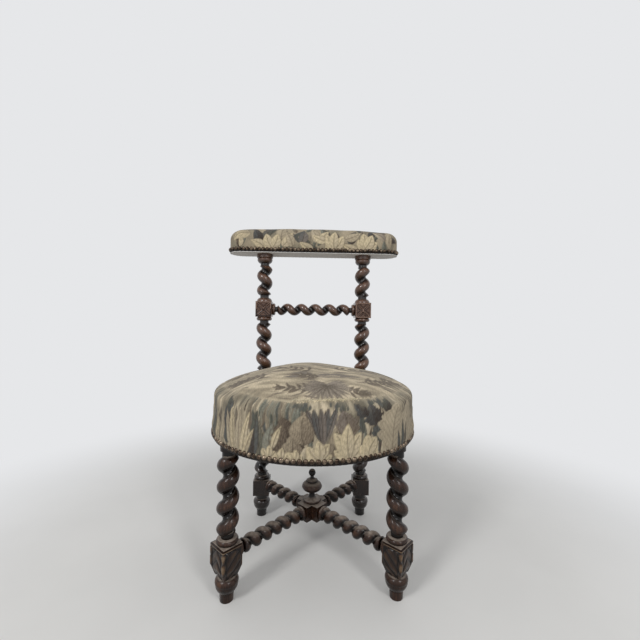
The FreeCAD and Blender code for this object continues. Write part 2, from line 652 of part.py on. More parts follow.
# Finial: a turned urn dowelled down through the halved joint.
FINIAL_FOOT = "finial_dowel_length"
FINIAL_BASE = f"{FINIAL_FOOT} + finial_base_height"
FINIAL_STEM = f"{FINIAL_BASE} + finial_stem_height"
FINIAL_BULB = f"{FINIAL_STEM} + finial_bulb_height"
FINIAL_RING = f"{FINIAL_BULB} + finial_ring_height"
FINIAL_NECK = f"{FINIAL_RING} + finial_neck_height"
FINIAL_MIDDLE = "(finial_ball_diameter * finial_ball_middle)"
FINIAL_RISE = f"(finial_ball_diameter - {FINIAL_MIDDLE})"
FINIAL_CROWN = f"((finial_ball_diameter / 2) ^ 2 + {FINIAL_RISE} ^ 2) / (2 * {FINIAL_RISE})"
finial = doc.addObject("PartDesign::Body", "finial")
turn(finial, "urn", [[
    ("0", "0", ""), ("finial_dowel_diameter / 2", "0", ""), ("finial_dowel_diameter / 2", FINIAL_FOOT, ""),
    ("finial_base_diameter / 2", FINIAL_FOOT, "finial_base_height * finial_foot_roundness"),
    ("finial_base_diameter / 2", f"{FINIAL_FOOT} + finial_base_height / 2", "-finial_base_height"),
    ("finial_stem_diameter / 2", FINIAL_BASE, "-finial_stem_height * finial_stem_sweep"),
    ("finial_stem_diameter / 2", FINIAL_STEM, "finial_bulb_height * finial_bulb_underside"),
    ("finial_bulb_diameter / 2", f"{FINIAL_STEM} + finial_bulb_height / 2",
     "finial_bulb_height * finial_bulb_shoulder"),
    ("finial_ring_diameter / 2", FINIAL_BULB, "finial_ring_height * finial_ring_roundness"),
    ("finial_ring_diameter / 2", FINIAL_RING, "-finial_neck_height * finial_neck_sweep"),
    ("finial_neck_diameter / 2", FINIAL_NECK, "finial_ball_diameter * finial_ball_underside"),
    ("finial_ball_diameter / 2", f"{FINIAL_NECK} + {FINIAL_MIDDLE}", FINIAL_CROWN),
    ("0", f"{FINIAL_NECK} + finial_ball_diameter", ""),
]])
place(finial, "0", HUB_Y, f"{HUB_TOP} - finial_dowel_length")
keep(finial, "stretcher_finial")

# Domed nails: one shape, repeated along the seat's and the crest's lower edge.
head_radius = number("nail_head_diameter / 2")
head_height = number("nail_head_height")


def nail(head, height, shank, length):
    """Nail along Z, the flat of its domed head at the origin and its shank below."""
    dome = (head ** 2 + height ** 2) / (2 * height)
    rim = Vector(head, 0, 0)
    crown = Vector(0, 0, height)
    half = (height - dome + sqrt(dome ** 2 - head ** 2 / 4))
    outline = Part.Wire([
        Part.Arc(rim, Vector(head / 2, 0, half), crown).toShape(),
        Part.makeLine(crown, Vector(0, 0, -length)),
        Part.makeLine(Vector(0, 0, -length), Vector(shank, 0, -length)),
        Part.makeLine(Vector(shank, 0, -length), Vector(shank, 0, 0)),
        Part.makeLine(Vector(shank, 0, 0), rim)])
    return Part.Face(outline).revolve(Vector(0, 0, 0), Vector(0, 0, 1), 360)


def driven(shape, point, outward):
    """Copy of a nail with its head's flat at a point, facing outward."""
    copy = shape.copy()
    copy.Placement = Placement(point, Rotation(Vector(0, 0, 1), outward))
    return copy


def group(name, solids):
    item = doc.addObject("Part::Feature", name)
    item.Shape = Part.makeCompound(solids)
    return item


dome_nail = nail(head_radius, head_height, number("nail_shank_diameter / 2"), number("nail_shank_length"))
seat_radius = number("seat_radius")
seat_centre = Vector(0, number("seat_centre_y"), 0)
nail_count = 2 * round(pi * seat_radius / number("nail_pitch"))
notch_half = number(f"{CLOTH_NOTCH} / 2")
nail_standoff = head_radius ** 2 / (2 * seat_radius)
seat_nail_list = []
for index in range(nail_count):
    angle = 2 * pi * (index + 0.5) / nail_count
    outward = Vector(cos(angle), sin(angle), 0)
    point = seat_centre + outward * (seat_radius + nail_standoff)
    point.z = number("seat_bottom + nail_row_height")
    beside_post = abs(abs(point.x) - number(REAR_X)) < notch_half + head_radius
    if not (beside_post and outward.y > 0):
        seat_nail_list.append(driven(dome_nail, point, outward))
seat_nails = keep(group("seat_nails", seat_nail_list), "seat_nails")

# Webbing: three straps each way under the ring, held by flat tacks.
web_layers = (("webbing_front_to_back", "seat_bottom - strap_thickness", True),
              ("webbing_side_to_side", "seat_bottom - 2 * strap_thickness", False))
web_disc = doc.addObject("Part::Cylinder", "webbing_outline")
bind(web_disc, "Radius", STRAP_REACH)
bind(web_disc, "Height", "4 * strap_thickness")
place(web_disc, "0", "seat_centre_y", "seat_bottom - 3 * strap_thickness")
straps = {}
tack_list = []
flat_tack = nail(number("tack_head_diameter / 2"), number("tack_head_height"),
                 number("tack_shank_diameter / 2"), number("tack_shank_length"))
tack_circle = number(f"{RING_INNER} + strap_margin / 2")
for name, bottom, lengthwise in web_layers:
    boxes = []
    for place_in_row in (-1, 0, 1):
        strap = doc.addObject("Part::Box", f"{name}_strap")
        long_side, short_side = ("Width", "Length") if lengthwise else ("Length", "Width")
        bind(strap, long_side, f"2 * {STRAP_REACH}")
        bind(strap, short_side, "strap_width")
        bind(strap, "Height", "strap_thickness")
        offset, run = f"{place_in_row} * strap_spacing - strap_width / 2", f"-{STRAP_REACH}"
        x, y = (offset, run) if lengthwise else (run, offset)
        place(strap, x, f"seat_centre_y + {y}", bottom)
        boxes.append(strap)
        for end in (-1, 1):
            for beside in (-0.5, 0.5):
                across = place_in_row * number("strap_spacing") + beside * number("tack_spacing")
                along = end * sqrt(tack_circle ** 2 - across ** 2)
                point = Vector(across, along, 0) if lengthwise else Vector(along, across, 0)
                point += seat_centre
                point.z = number(bottom)
                tack_list.append(driven(flat_tack, point, Vector(0, 0, -1)))
    layer = doc.addObject("Part::Compound", f"{name}_layer")
    layer.Links = boxes
    straps[name] = doc.addObject("Part::Common", f"{name}_trimmed")
    straps[name].Base = layer
    straps[name].Tool = web_disc
webbing_tacks = keep(group("webbing_tacks", tack_list), "webbing_tacks")
for name, trimmed in straps.items():
    keep(cut(name, trimmed, [webbing_tacks]), name)

# Seat ring: four quarter felloes, dowelled end to end, bored for the legs and notched for the posts.
dowels = []
DOWEL_CIRCLE = f"(({RING_OUTER} + {RING_INNER}) / 2)"
for quarter in range(4):
    for level in (-0.5, 0.5):
        along = f"({quarter} * 90 * 1 deg)"
        start = "(-ring_dowel_length / 2)"
        dowels.append(cylinder(
            f"ring_dowel_{quarter}", "ring_dowel_diameter", "ring_dowel_length", "x",
            (f"{DOWEL_CIRCLE} * cos({along}) - {start} * sin({along})",
             f"seat_centre_y + {DOWEL_CIRCLE} * sin({along}) + {start} * cos({along})",
             f"seat_bottom + ring_height / 2 + {level} * ring_dowel_spacing"),
            f"{along} + 90 * 1 deg"))
ring_dowels = doc.addObject("Part::Compound", "ring_dowels")
ring_dowels.Links = dowels
keep(ring_dowels, "ring_dowels")
leg_sockets = []
notches = {"ring": [], "cloth": []}
for side, sign in SIDES:
    leg_sockets.append(cylinder(f"leg_socket_{side}", "leg_tenon_diameter", "leg_tenon_length", "z",
                                (f"{sign} * {FRONT_X}", f"seat_centre_y - {FRONT_Y}", "seat_bottom")))
    for use, width in (("ring", "post_block_side"), ("cloth", CLOTH_NOTCH)):
        notch = doc.addObject("Part::Box", f"{use}_notch_{side}")
        bind(notch, "Length", width)
        bind(notch, "Width", "seat_radius")
        bind(notch, "Height", "seat_crown")
        place(notch, f"{sign} * {REAR_X} - {width} / 2", f"seat_centre_y + {REAR_Y} - {width} / 2",
              "seat_bottom - cutter_overrun")
        notches[use].append(notch)
for quarter, name in enumerate(("rear_right", "rear_left", "front_left", "front_right")):
    felloe = doc.addObject("PartDesign::Body", f"felloe_{name}")
    sketch = new_sketch(felloe, "plan", "XY_Plane")
    draw_outline(sketch, [(RING_INNER, "0", ""), (RING_OUTER, "0", RING_OUTER),
                          ("0", RING_OUTER, ""), ("0", RING_INNER, f"-{RING_INNER}")], "V_Axis")
    pad = felloe.newObject("PartDesign::Pad", f"felloe_{name}_pad")
    pad.Profile = sketch
    bind(pad, "Length", "ring_height")
    place(felloe, "0", "seat_centre_y", "seat_bottom", f"{quarter} * 90 * 1 deg")
    own = notches["ring"] + [ring_bolts] if quarter < 2 else leg_sockets
    driven_in = [seat_nails, webbing_tacks, ring_dowels]
    keep(cut(f"seat_ring_{name}", felloe, driven_in + own), f"seat_ring_{name}")

# Coil springs, standing on the webbing and tied under the hessian.
wire = number("spring_wire")
coil_radius = number("(spring_diameter - spring_wire) / 2")
coil_height = number("ring_height - spring_wire - 2 * cloth_clearance")
helix = Part.makeHelix(coil_height / number("spring_turns"), coil_height, coil_radius)
wire_inside = Vector(coil_radius - wire / 2, 0, 0)
wire_outside = Vector(coil_radius + wire / 2, 0, 0)
wire_top = Vector(coil_radius, 0, wire / 2)
wire_bottom = Vector(coil_radius, 0, -wire / 2)
section = Part.Wire([Part.Arc(wire_outside, wire_top, wire_inside).toShape(),
                     Part.Arc(wire_inside, wire_bottom, wire_outside).toShape()])
coil = Part.Wire(helix).makePipeShell([section], True, True)
spring_list = []
spring_count = round(number("springs_round_centre"))
spring_points = [Vector(0, 0, 0)]
for index in range(spring_count):
    angle = 2 * pi * index / spring_count
    spring_points.append(Vector(cos(angle), sin(angle), 0) * number("spring_circle"))
for point in spring_points:
    point += seat_centre
    point.z = number("seat_bottom + spring_wire / 2 + cloth_clearance")
    spring = coil.copy()
    spring.translate(point)
    spring_list.append(spring)
keep(group("seat_springs", spring_list), "seat_springs")

# Hessian over the springs, tacked on the ring.
hessian = doc.addObject("Part::Cylinder", "hessian_disc")
bind(hessian, "Radius", RING_OUTER)
bind(hessian, "Height", "hessian_thickness")
place(hessian, "0", "seat_centre_y", RING_TOP)
keep(cut("seat_hessian", hessian, notches["cloth"]), "seat_hessian")

# Bottom cloth, a plain disc under the webbing and its tacks.
bottom_cloth = doc.addObject("Part::Cylinder", "bottom_cloth")
bind(bottom_cloth, "Radius", f"{STRAP_REACH} + bottom_cloth_thickness")
bind(bottom_cloth, "Height", "bottom_cloth_thickness")
place(bottom_cloth, "0", "seat_centre_y",
      "seat_bottom - 2 * strap_thickness - tack_head_height - bottom_cloth_thickness")
keep(bottom_cloth, "bottom_cloth")


def dome_points(inset, bottom):
    """Seat section from the lower outside edge up to the crown, set in from the outside."""
    rise = "seat_dome_rise"
    reach = "(seat_radius - seat_edge_round)"
    return [(f"seat_radius - {inset}", bottom, ""),
            (f"seat_radius - {inset}", "seat_edge - seat_edge_round", f"seat_edge_round - {inset}"),
            (reach, f"seat_edge - {inset}", f"({reach} ^ 2 + {rise} ^ 2) / (2 * {rise})"),
            ("0", f"seat_crown - {inset}", "")]


# Seat stuffing, one domed pad that fills the cover above the hessian.
STUFFING_INSET = "(cover_thickness + cloth_clearance)"
HESSIAN_TOP = f"{RING_TOP} + hessian_thickness"
stuffing = doc.addObject("PartDesign::Body", "seat_pad")
turn(stuffing, "dome", [[("0", HESSIAN_TOP, ""), *dome_points(STUFFING_INSET, HESSIAN_TOP)]])
place(stuffing, "0", "seat_centre_y")
keep(cut("seat_stuffing", stuffing, notches["cloth"]), "seat_stuffing")

# Seat cover: one skin of tapestry over the pad and down the ring, notched for the posts.
outer_skin = dome_points("0", "seat_bottom")
inner_skin = dome_points("cover_thickness", "seat_bottom")
inner_path = [(radius, height, "") for radius, height, bulge in reversed(inner_skin)]
for index, (radius, height, bulge) in enumerate(reversed(inner_skin[:-1])):
    if bulge:
        inner_path[index] = (*inner_path[index][:2], f"-({bulge})")
cover = doc.addObject("PartDesign::Body", "seat_skin")
turn(cover, "skin", [outer_skin + inner_path])
place(cover, "0", "seat_centre_y")
keep(cut("seat_cover", cover, notches["cloth"] + [seat_nails]), "seat_cover")


def crest_slab(name, inset, bottom, height, rounding=""):
    """Round-ended slab in plan, centred over the posts, with an optional rounded top edge."""
    body = doc.addObject("PartDesign::Body", name)
    sketch = new_sketch(body, "plan", "XY_Plane")
    half = number("(crest_width - crest_depth) / 2")
    end = number(f"crest_depth / 2 - {inset}")
    centres = Vector(half, 0, 0), Vector(-half, 0, 0)
    up = Vector(0, 0, 1)
    sketch.addGeometry([
        Part.LineSegment(Vector(-half, end, 0), Vector(half, end, 0)),
        Part.ArcOfCircle(Part.Circle(centres[0], up, end), -pi / 2, pi / 2),
        Part.LineSegment(Vector(half, -end, 0), Vector(-half, -end, 0)),
        Part.ArcOfCircle(Part.Circle(centres[1], up, end), pi / 2, 3 * pi / 2)], False)
    rules = [Sketcher.Constraint("Tangent", 0, 2, 1, 2), Sketcher.Constraint("Tangent", 1, 1, 2, 1),
             Sketcher.Constraint("Tangent", 2, 2, 3, 2), Sketcher.Constraint("Tangent", 3, 1, 0, 1),
             Sketcher.Constraint("Symmetric", 1, 3, 3, 3, -1, 1),
             Sketcher.Constraint("PointOnObject", 1, 3, -1),
             Sketcher.Constraint("Radius", 1, end), Sketcher.Constraint("DistanceX", 3, 3, 1, 3, 2 * half)]
    sketch.addConstraint(rules)
    bind(sketch, "Constraints[6]", f"crest_depth / 2 - {inset}")
    bind(sketch, "Constraints[7]", "crest_width - crest_depth")
    slab = body.newObject("PartDesign::Pad", f"{name}_slab")
    slab.Profile = sketch
    bind(slab, "Length", height)
    doc.recompute()
    if rounding:
        middle = slab.Shape.BoundBox.Center.z
        edges = [f"Edge{index}" for index, edge in enumerate(slab.Shape.Edges, 1)
                 if edge.BoundBox.ZMin > middle]
        rounded = body.newObject("PartDesign::Fillet", f"{name}_round")
        rounded.Base = (slab, edges)
        bind(rounded, "Radius", rounding)
    place(body, "0", f"seat_centre_y + {REAR_Y}", bottom)
    doc.recompute()
    return body


# Crest nails along the lower edge of the crest cover.
straight = number("crest_width - crest_depth")
end_radius = number("crest_depth / 2")
perimeter = 2 * straight + 2 * pi * end_radius
crest_nail_list = []
crest_nail_count = 2 * round(perimeter / 2 / number("nail_pitch"))
crest_centre = Vector(0, number(f"seat_centre_y + {REAR_Y}"), number("post_top + nail_row_height"))
end_standoff = head_radius ** 2 / (2 * end_radius)
for index in range(crest_nail_count):
    run = (straight / 2 + perimeter * index / crest_nail_count) % perimeter
    half_turn, run = divmod(run, perimeter / 2)
    facing = -1 if half_turn else 1
    if run < straight:
        outward = Vector(0, -facing, 0)
        point = Vector(facing * (run - straight / 2), -facing * end_radius, 0)
    else:
        angle = (run - straight) / end_radius - pi / 2
        outward = Vector(cos(angle), sin(angle), 0) * facing
        point = Vector(facing * straight / 2, 0, 0) + outward * (end_radius + end_standoff)
    crest_nail_list.append(driven(dome_nail, crest_centre + point, outward))
crest_nails = keep(group("crest_nails", crest_nail_list), "crest_nails")

# Crest: board on the posts' tenons, pad, tapestry skin and the lining under the board.
BOARD_INSET = "(cover_thickness + cloth_clearance)"
post_sockets = [cylinder(f"post_socket_{side}", "post_tenon_diameter", "post_tenon_length", "z",
                         (f"{sign} * {REAR_X}", f"seat_centre_y + {REAR_Y}", "post_top"))
                for side, sign in SIDES]
board = crest_slab("board", BOARD_INSET, "post_top", "crest_board_height")
keep(cut("crest_board", board, post_sockets + [crest_nails]), "crest_board")
pad = crest_slab("crest_pad", BOARD_INSET, "post_top + crest_board_height",
                 f"crest_height - crest_board_height - {BOARD_INSET}", f"crest_round - {BOARD_INSET}")
keep(pad, "crest_stuffing")
skin = crest_slab("crest_skin", "0", "post_top", "crest_height", "crest_round")
hollow = crest_slab("crest_hollow", "cover_thickness", "post_top", "crest_height - cover_thickness",
                    "crest_round - cover_thickness")
crest_shell = cut("crest_shell", skin, [hollow])
keep(cut("crest_cover", crest_shell, [crest_nails]), "crest_cover")
lining = crest_slab("lining", "cover_thickness / 2", "post_top - lining_thickness", "lining_thickness")
capital_holes = [cylinder(f"capital_hole_{side}", "capital_diameter + 2 * cloth_clearance",
                          "lining_thickness + 2 * cutter_overrun", "z",
                          (f"{sign} * {REAR_X}", f"seat_centre_y + {REAR_Y}",
                           "post_top - lining_thickness - cutter_overrun")) for side, sign in SIDES]
keep(cut("crest_lining", lining, capital_holes), "crest_lining")

# Every piece has to be whole before anything is written.
doc.recompute()
failed = [item.Name for item in doc.Objects if {"Invalid", "Error"} & set(item.State)]
for item in nodes:
    if item.Shape.isNull() or not item.Shape.isValid() or not item.Shape.Solids:
        failed.append(item.Label)
if failed:
    raise RuntimeError(f"not built: {failed}")
os.makedirs("parts", exist_ok=True)
for item in nodes:
    item.Shape.exportStep(f"parts/{item.Label}.step")
print(f"{len(nodes)} pieces written")
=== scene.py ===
from math import cos, pi, radians, sin, tau

import bmesh
import bpy
import numpy as np
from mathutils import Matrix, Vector


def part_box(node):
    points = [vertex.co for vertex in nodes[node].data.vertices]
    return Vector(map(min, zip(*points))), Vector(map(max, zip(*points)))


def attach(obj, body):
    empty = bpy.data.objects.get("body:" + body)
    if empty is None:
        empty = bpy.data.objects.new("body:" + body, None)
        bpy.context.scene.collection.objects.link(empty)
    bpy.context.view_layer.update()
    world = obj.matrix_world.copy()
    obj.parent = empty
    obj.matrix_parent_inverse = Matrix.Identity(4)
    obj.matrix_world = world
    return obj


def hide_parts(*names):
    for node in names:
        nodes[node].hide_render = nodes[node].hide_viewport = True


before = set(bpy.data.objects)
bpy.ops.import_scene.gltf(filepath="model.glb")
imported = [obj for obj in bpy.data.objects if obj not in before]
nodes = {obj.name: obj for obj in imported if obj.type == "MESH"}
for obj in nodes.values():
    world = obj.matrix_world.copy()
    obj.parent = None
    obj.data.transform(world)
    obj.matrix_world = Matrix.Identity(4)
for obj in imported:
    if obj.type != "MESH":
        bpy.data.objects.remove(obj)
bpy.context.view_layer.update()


# Front legs. Each is one length of walnut, turned to a ball foot, a square block and a spindle that is
# then carved by hand into one barley twist. The top tenon is glued into the seat ring.
def linear(code):
    """Linear colour of an sRGB hex value."""
    parts = [int(code[start:start + 2], 16) / 255 for start in (1, 3, 5)]
    return [part / 12.92 if part <= 0.04045 else ((part + 0.055) / 1.055) ** 2.4 for part in parts]


def add(tree, kind, settings):
    """Add a node. Settings name its properties, or its sockets with what they hold or are linked to."""
    made = tree.nodes.new("ShaderNode" + kind)
    for name, value in settings.items():
        if name == "stops":
            while len(made.color_ramp.elements) < len(value):
                made.color_ramp.elements.new(1)
            for element, (at, code) in zip(made.color_ramp.elements, value):
                element.position = at
                element.color = linear(code) + [1]
        elif isinstance(value, bpy.types.NodeSocket):
            tree.links.new(made.inputs[name], value)
        elif isinstance(name, int) or name in made.inputs:
            made.inputs[name].default_value = value
        else:
            setattr(made, name, value)
    return made.outputs


def start_material(name):
    """A material with no nodes yet, and its tree."""
    made = bpy.data.materials.new(name)
    made.use_nodes = True
    made.node_tree.nodes.clear()
    return made, made.node_tree


def walnut(name, point, turned, hollow, proud, dust, lying=0.6, worn=0.0, arris="#6a4f35",
           ends=(0, 1, 0, 0), shade_below=0.5, gloss=0.2):
    """Dark walnut under old shellac: streaky grain along the piece, painted shade that makes it nearly
    black at the hollow radius, rubbed red-brown at the proud one, dusty on faces more level than lying,
    with painted shade where it faces down. Ends gives two places along the piece and the change of tone at
    each: rubbed feet on the front legs, painted shade low down under the seat on the rear posts."""
    made, tree = start_material(name)
    place = add(tree, "TexCoord", {})["Object"]
    own = add(tree, "Mapping", {"vector_type": "TEXTURE", "Vector": place, "Location": point,
                                "Rotation": turned})[0]
    # growth lines about 4 mm apart and pores under 1 mm wide, both drawn out along the piece
    lines = add(tree, "Mapping", {"Vector": own, "Scale": (1, 1, 0.09)})[0]
    grain = add(tree, "TexNoise", {"Vector": lines, "Scale": 1 / 0.0045, "Detail": 5.0, "Roughness": 0.6,
                                   "Distortion": 0.4})["Fac"]
    pores = add(tree, "TexNoise", {"Vector": lines, "Scale": 1 / 0.0011, "Detail": 2.0})["Fac"]
    patches = add(tree, "TexNoise", {"Vector": own, "Scale": 1 / 0.028, "Detail": 3.0})["Fac"]
    gouges = add(tree, "TexNoise", {"Vector": own, "Scale": 1 / 0.007, "Detail": 1.0})["Fac"]
    flat = add(tree, "VectorMath", {"operation": "MULTIPLY", 0: own, 1: (1, 1, 0)})[0]
    radius = add(tree, "VectorMath", {"operation": "LENGTH", 0: flat})["Value"]
    # painted shade: the wood darkens towards the hollow radius of a twist, and is rubbed paler towards the
    # proud one
    hollow_shade_and_rub = add(tree, "MapRange", {"interpolation_type": "SMOOTHSTEP", "Value": radius,
                                      "From Min": hollow, "From Max": proud})[0]
    run = add(tree, "SeparateXYZ", {"Vector": own})["Z"]
    # change of tone along the piece: rubbed feet on the front legs, painted shade under the seat on the
    # rear posts
    shade_and_wear_along = add(tree, "MapRange", {"interpolation_type": "SMOOTHSTEP", "Value": run, "From Min": ends[0],
                                   "From Max": ends[1], "To Min": ends[2], "To Max": ends[3]})[0]
    streaks = add(tree, "Math", {"operation": "MULTIPLY_ADD", 0: grain, 1: 0.6, 2: -0.2})[0]
    blotches = add(tree, "Math", {"operation": "MULTIPLY_ADD", 0: patches, 1: 0.4, 2: streaks})[0]
    shaped = add(tree, "Math", {"operation": "MULTIPLY_ADD", 0: hollow_shade_and_rub, 1: 0.5, 2: blotches})[0]
    tone = add(tree, "Math", {"operation": "ADD", 0: shaped, 1: shade_and_wear_along})[0]
    wood = add(tree, "ValToRGB", {"Fac": tone, "stops": [
        (0.16, "#040202"), (0.42, "#100906"), (0.62, "#231610"), (0.8, "#3e2a20"), (0.98, "#664735")]})[0]
    dark_pores = add(tree, "MapRange", {"Value": pores, "From Min": 0.56, "From Max": 0.7,
                                        "To Max": 0.45})[0]
    grained = add(tree, "Mix", {"data_type": "RGBA", 0: dark_pores, 6: wood, 7: linear("#080403") + [1]})[2]
    corner = add(tree, "MapRange", {"interpolation_type": "SMOOTHSTEP", "Value": radius,
                                    "From Min": proud * 1.24, "From Max": proud * 1.4, "To Max": worn})[0]
    rub = add(tree, "MapRange", {"Value": patches, "From Min": 0.36, "From Max": 0.6})[0]
    rubbed = add(tree, "Math", {"operation": "MULTIPLY", 0: corner, 1: rub})[0]
    honey = add(tree, "Mix", {"data_type": "RGBA", 0: rubbed, 6: grained, 7: linear(arris) + [1]})[2]
    facing = add(tree, "SeparateXYZ", {"Vector": add(tree, "NewGeometry", {})["Normal"]})["Z"]
    upward = add(tree, "MapRange", {"interpolation_type": "SMOOTHSTEP", "Value": facing, "From Min": lying,
                                    "From Max": 0.97, "To Max": dust})[0]
    settled = add(tree, "MapRange", {"Value": gouges, "From Min": 0.25, "From Max": 0.65, "To Min": 0.5})[0]
    dusty = add(tree, "Math", {"operation": "MULTIPLY", 0: upward, 1: settled})[0]
    # painted shade on faces that look down
    below = add(tree, "MapRange", {"interpolation_type": "SMOOTHSTEP", "Value": facing, "From Min": -0.6,
                                   "From Max": 0.5, "To Min": shade_below, "To Max": 0.0})[0]
    shaded_below = add(tree, "Mix", {"data_type": "RGBA", 0: below, 6: honey, 7: linear("#080504") + [1]})[2]
    colour = add(tree, "Mix", {"data_type": "RGBA", 0: dusty, 6: shaded_below, 7: linear("#a3968a") + [1]})[2]
    polish = add(tree, "MapRange", {"Value": patches, "From Min": 0.3, "From Max": 0.7, "To Min": 0.22,
                                    "To Max": 0.38})[0]
    rough = add(tree, "Math", {"operation": "MULTIPLY_ADD", 0: dusty, 1: 0.5, 2: polish})[0]
    relief = add(tree, "Math", {"operation": "MULTIPLY_ADD", 0: gouges, 1: 1.6, 2: grain})[0]
    bump = add(tree, "Bump", {"Strength": 0.5, "Distance": 0.0006, "Height": relief})[0]
    shader = add(tree, "BsdfPrincipled", {"Base Color": colour, "Roughness": rough, "IOR": 1.5,
                                          "Specular IOR Level": gloss, "Coat Weight": gloss * 0.9,
                                          "Coat Roughness": 0.12, "Normal": bump})[0]
    add(tree, "OutputMaterial", {"Surface": shader})
    return made


SHARP_ANGLE = radians(38)


def finish_node(name, material):
    """Give a CAD piece its finish, and smooth its turned surfaces up to its real arrises."""
    piece = nodes[name]
    piece.data.materials.clear()
    piece.data.materials.append(material)
    piece.data.shade_smooth()
    piece.data.set_sharp_from_angle(angle=SHARP_ANGLE)


SIDES = (("left", -1), ("right", 1))
LEG = (0.1677, -0.1248)
STRETCHER_TURN = radians(44.3)
TWIST_HOLLOW, TWIST_PROUD = 0.0095, 0.0215
PEG_TOP, BALL_FOOT = 0.015, 0.027
for side, sign in SIDES:
    leg_wood = walnut(f"walnut_leg_{side}", (sign * LEG[0], LEG[1], 0), (0, 0, -sign * STRETCHER_TURN),
                      TWIST_HOLLOW, TWIST_PROUD, dust=0.9, lying=0.72, worn=0.25,
                      ends=(PEG_TOP, BALL_FOOT, 0.34, -0.02), shade_below=0.8)
    finish_node(f"front_leg_{side}", leg_wood)


# Leaves carved on the front blocks. Each is cut from the block's own wood over its two outward corners: a
# proud rib down the corner, lobes slanting off it, and a moulded ledge along the top of the block.
def carved_walnut(name, tones):
    """The same polished walnut where it is carved: painted shade makes the cuts black, and what stands
    proud is paler, partly rubbed and partly painted highlight.
    """
    made, tree = start_material(name)
    carved_shade_and_light = add(tree, "Attribute", {"attribute_name": "carved"})["Fac"]
    place = add(tree, "TexCoord", {})["Object"]
    lines = add(tree, "Mapping", {"Vector": place, "Scale": (1, 1, 0.15)})[0]
    grain = add(tree, "TexNoise", {"Vector": lines, "Scale": 1 / 0.003, "Detail": 4.0})["Fac"]
    wear = add(tree, "TexNoise", {"Vector": place, "Scale": 1 / 0.011, "Detail": 2.0})["Fac"]
    grained = add(tree, "Math", {"operation": "MULTIPLY_ADD", 0: grain, 1: 0.3, 2: carved_shade_and_light})[0]
    tone = add(tree, "Math", {"operation": "MULTIPLY_ADD", 0: wear, 1: 0.3, 2: grained})[0]
    shifted = add(tree, "Math", {"operation": "SUBTRACT", 0: tone, 1: 0.3})[0]
    colour = add(tree, "ValToRGB", {"Fac": shifted, "stops": tones})[0]
    bump = add(tree, "Bump", {"Strength": 0.4, "Distance": 0.0004, "Height": grain})[0]
    shader = add(tree, "BsdfPrincipled", {"Base Color": colour, "Roughness": 0.32,
                                          "Specular IOR Level": 0.2, "Coat Weight": 0.18,
                                          "Coat Roughness": 0.14, "Normal": bump})[0]
    add(tree, "OutputMaterial", {"Surface": shader})
    return made


def link_piece(name, spots, faces):
    """Make a piece of points and faces, and put it in the scene."""
    mesh = bpy.data.meshes.new(name)
    mesh.from_pydata([tuple(map(float, spot)) for spot in spots], [], faces)
    mesh.update()
    piece = bpy.data.objects.new(name, mesh)
    bpy.context.scene.collection.objects.link(piece)
    return piece


def rework(mesh, change):
    """Open a mesh, make a change in its faces or points, and close it again."""
    shell = bmesh.new()
    shell.from_mesh(mesh)
    change(shell)
    shell.to_mesh(mesh)
    shell.free()


def carving(name, front, back, raised, material):
    """Closed solid between a carved front and a back sunk in the wood, each given as rows of points."""
    rows, columns = front.shape[:2]
    count = rows * columns
    faces = []
    for row in range(rows - 1):
        for column in range(columns - 1):
            corner = row * columns + column
            faces.append((corner, corner + 1, corner + columns + 1, corner + columns))
            faces.append(tuple(count + index for index in faces[-1][::-1]))
    rim = list(range(columns)) + [row * columns + columns - 1 for row in range(1, rows)]
    rim += list(range(count - 2, count - columns - 1, -1))
    rim += [row * columns for row in range(rows - 2, 0, -1)]
    for first, second in zip(rim, rim[1:] + rim[:1]):
        faces.append((second, first, count + first, count + second))
    piece = link_piece(name, np.concatenate([front.reshape(-1, 3), back.reshape(-1, 3)]), faces)
    mesh = piece.data
    rework(mesh, lambda shell: bmesh.ops.recalc_face_normals(shell, faces=shell.faces))
    # the carved attribute holds the carving's tones, with their painted shade and painted highlight
    carved = mesh.attributes.new("carved", "FLOAT", "POINT")
    carved.data.foreach_set("value", np.concatenate([raised.ravel(), raised.ravel()]).astype(np.float32))
    mesh.materials.append(material)
    mesh.shade_smooth()
    mesh.set_sharp_from_angle(angle=CARVED_SHARP_ANGLE)
    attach(piece, "root")


def ease(value):
    """Smooth step from 0 to 1."""
    value = np.clip(value, 0, 1)
    return value * value * (3 - 2 * value)


BLOCK_HALF, TAPER_HALF = 0.021, 0.0145
TAPER_FOOT, BLOCK_FOOT, BLOCK_TOP = 0.048, 0.068, 0.111
CARVED_DEPTH, CARVED_SHARP_ANGLE = 0.004, radians(60)
SUNK, FLUSH = 0.004, 0.0002
EDGE_GAP = 0.04
# along goes over three faces of the block, with its corners at 1 and 2, and up from the taper to the top
along, up = np.meshgrid(np.linspace(EDGE_GAP, 3 - EDGE_GAP, 150), np.linspace(0, 1, 90))
from_corner = np.minimum(abs(along - 1), abs(along - 2))
leaf_half = 0.16 + 0.78 * np.sin(pi * np.clip(0.08 + 0.8 * up, 0, 1)) ** 0.8
in_leaf = ease((leaf_half - from_corner) / 0.07)
lobes = np.abs(np.sin(pi * (2.9 * up - 1.9 * from_corner + 0.2))) ** 0.6
rib = np.exp(-(from_corner / 0.055) ** 2) * ease((up - 0.16) / 0.16)
rib *= 0.78 + 0.22 * np.cos(tau * (2.6 * up - 0.3))
groove = np.exp(-((from_corner - 0.13) / 0.04) ** 2)
ledge = ease((up - 0.94) / 0.02)
under_ledge = np.exp(-((up - 0.91) / 0.025) ** 2)
raised = 0.1 + in_leaf * (0.1 + 0.5 * lobes) + 0.7 * rib - 0.3 * groove - 0.5 * under_ledge
raised = np.clip(raised, 0, 1) * (1 - ledge) + 0.9 * ledge
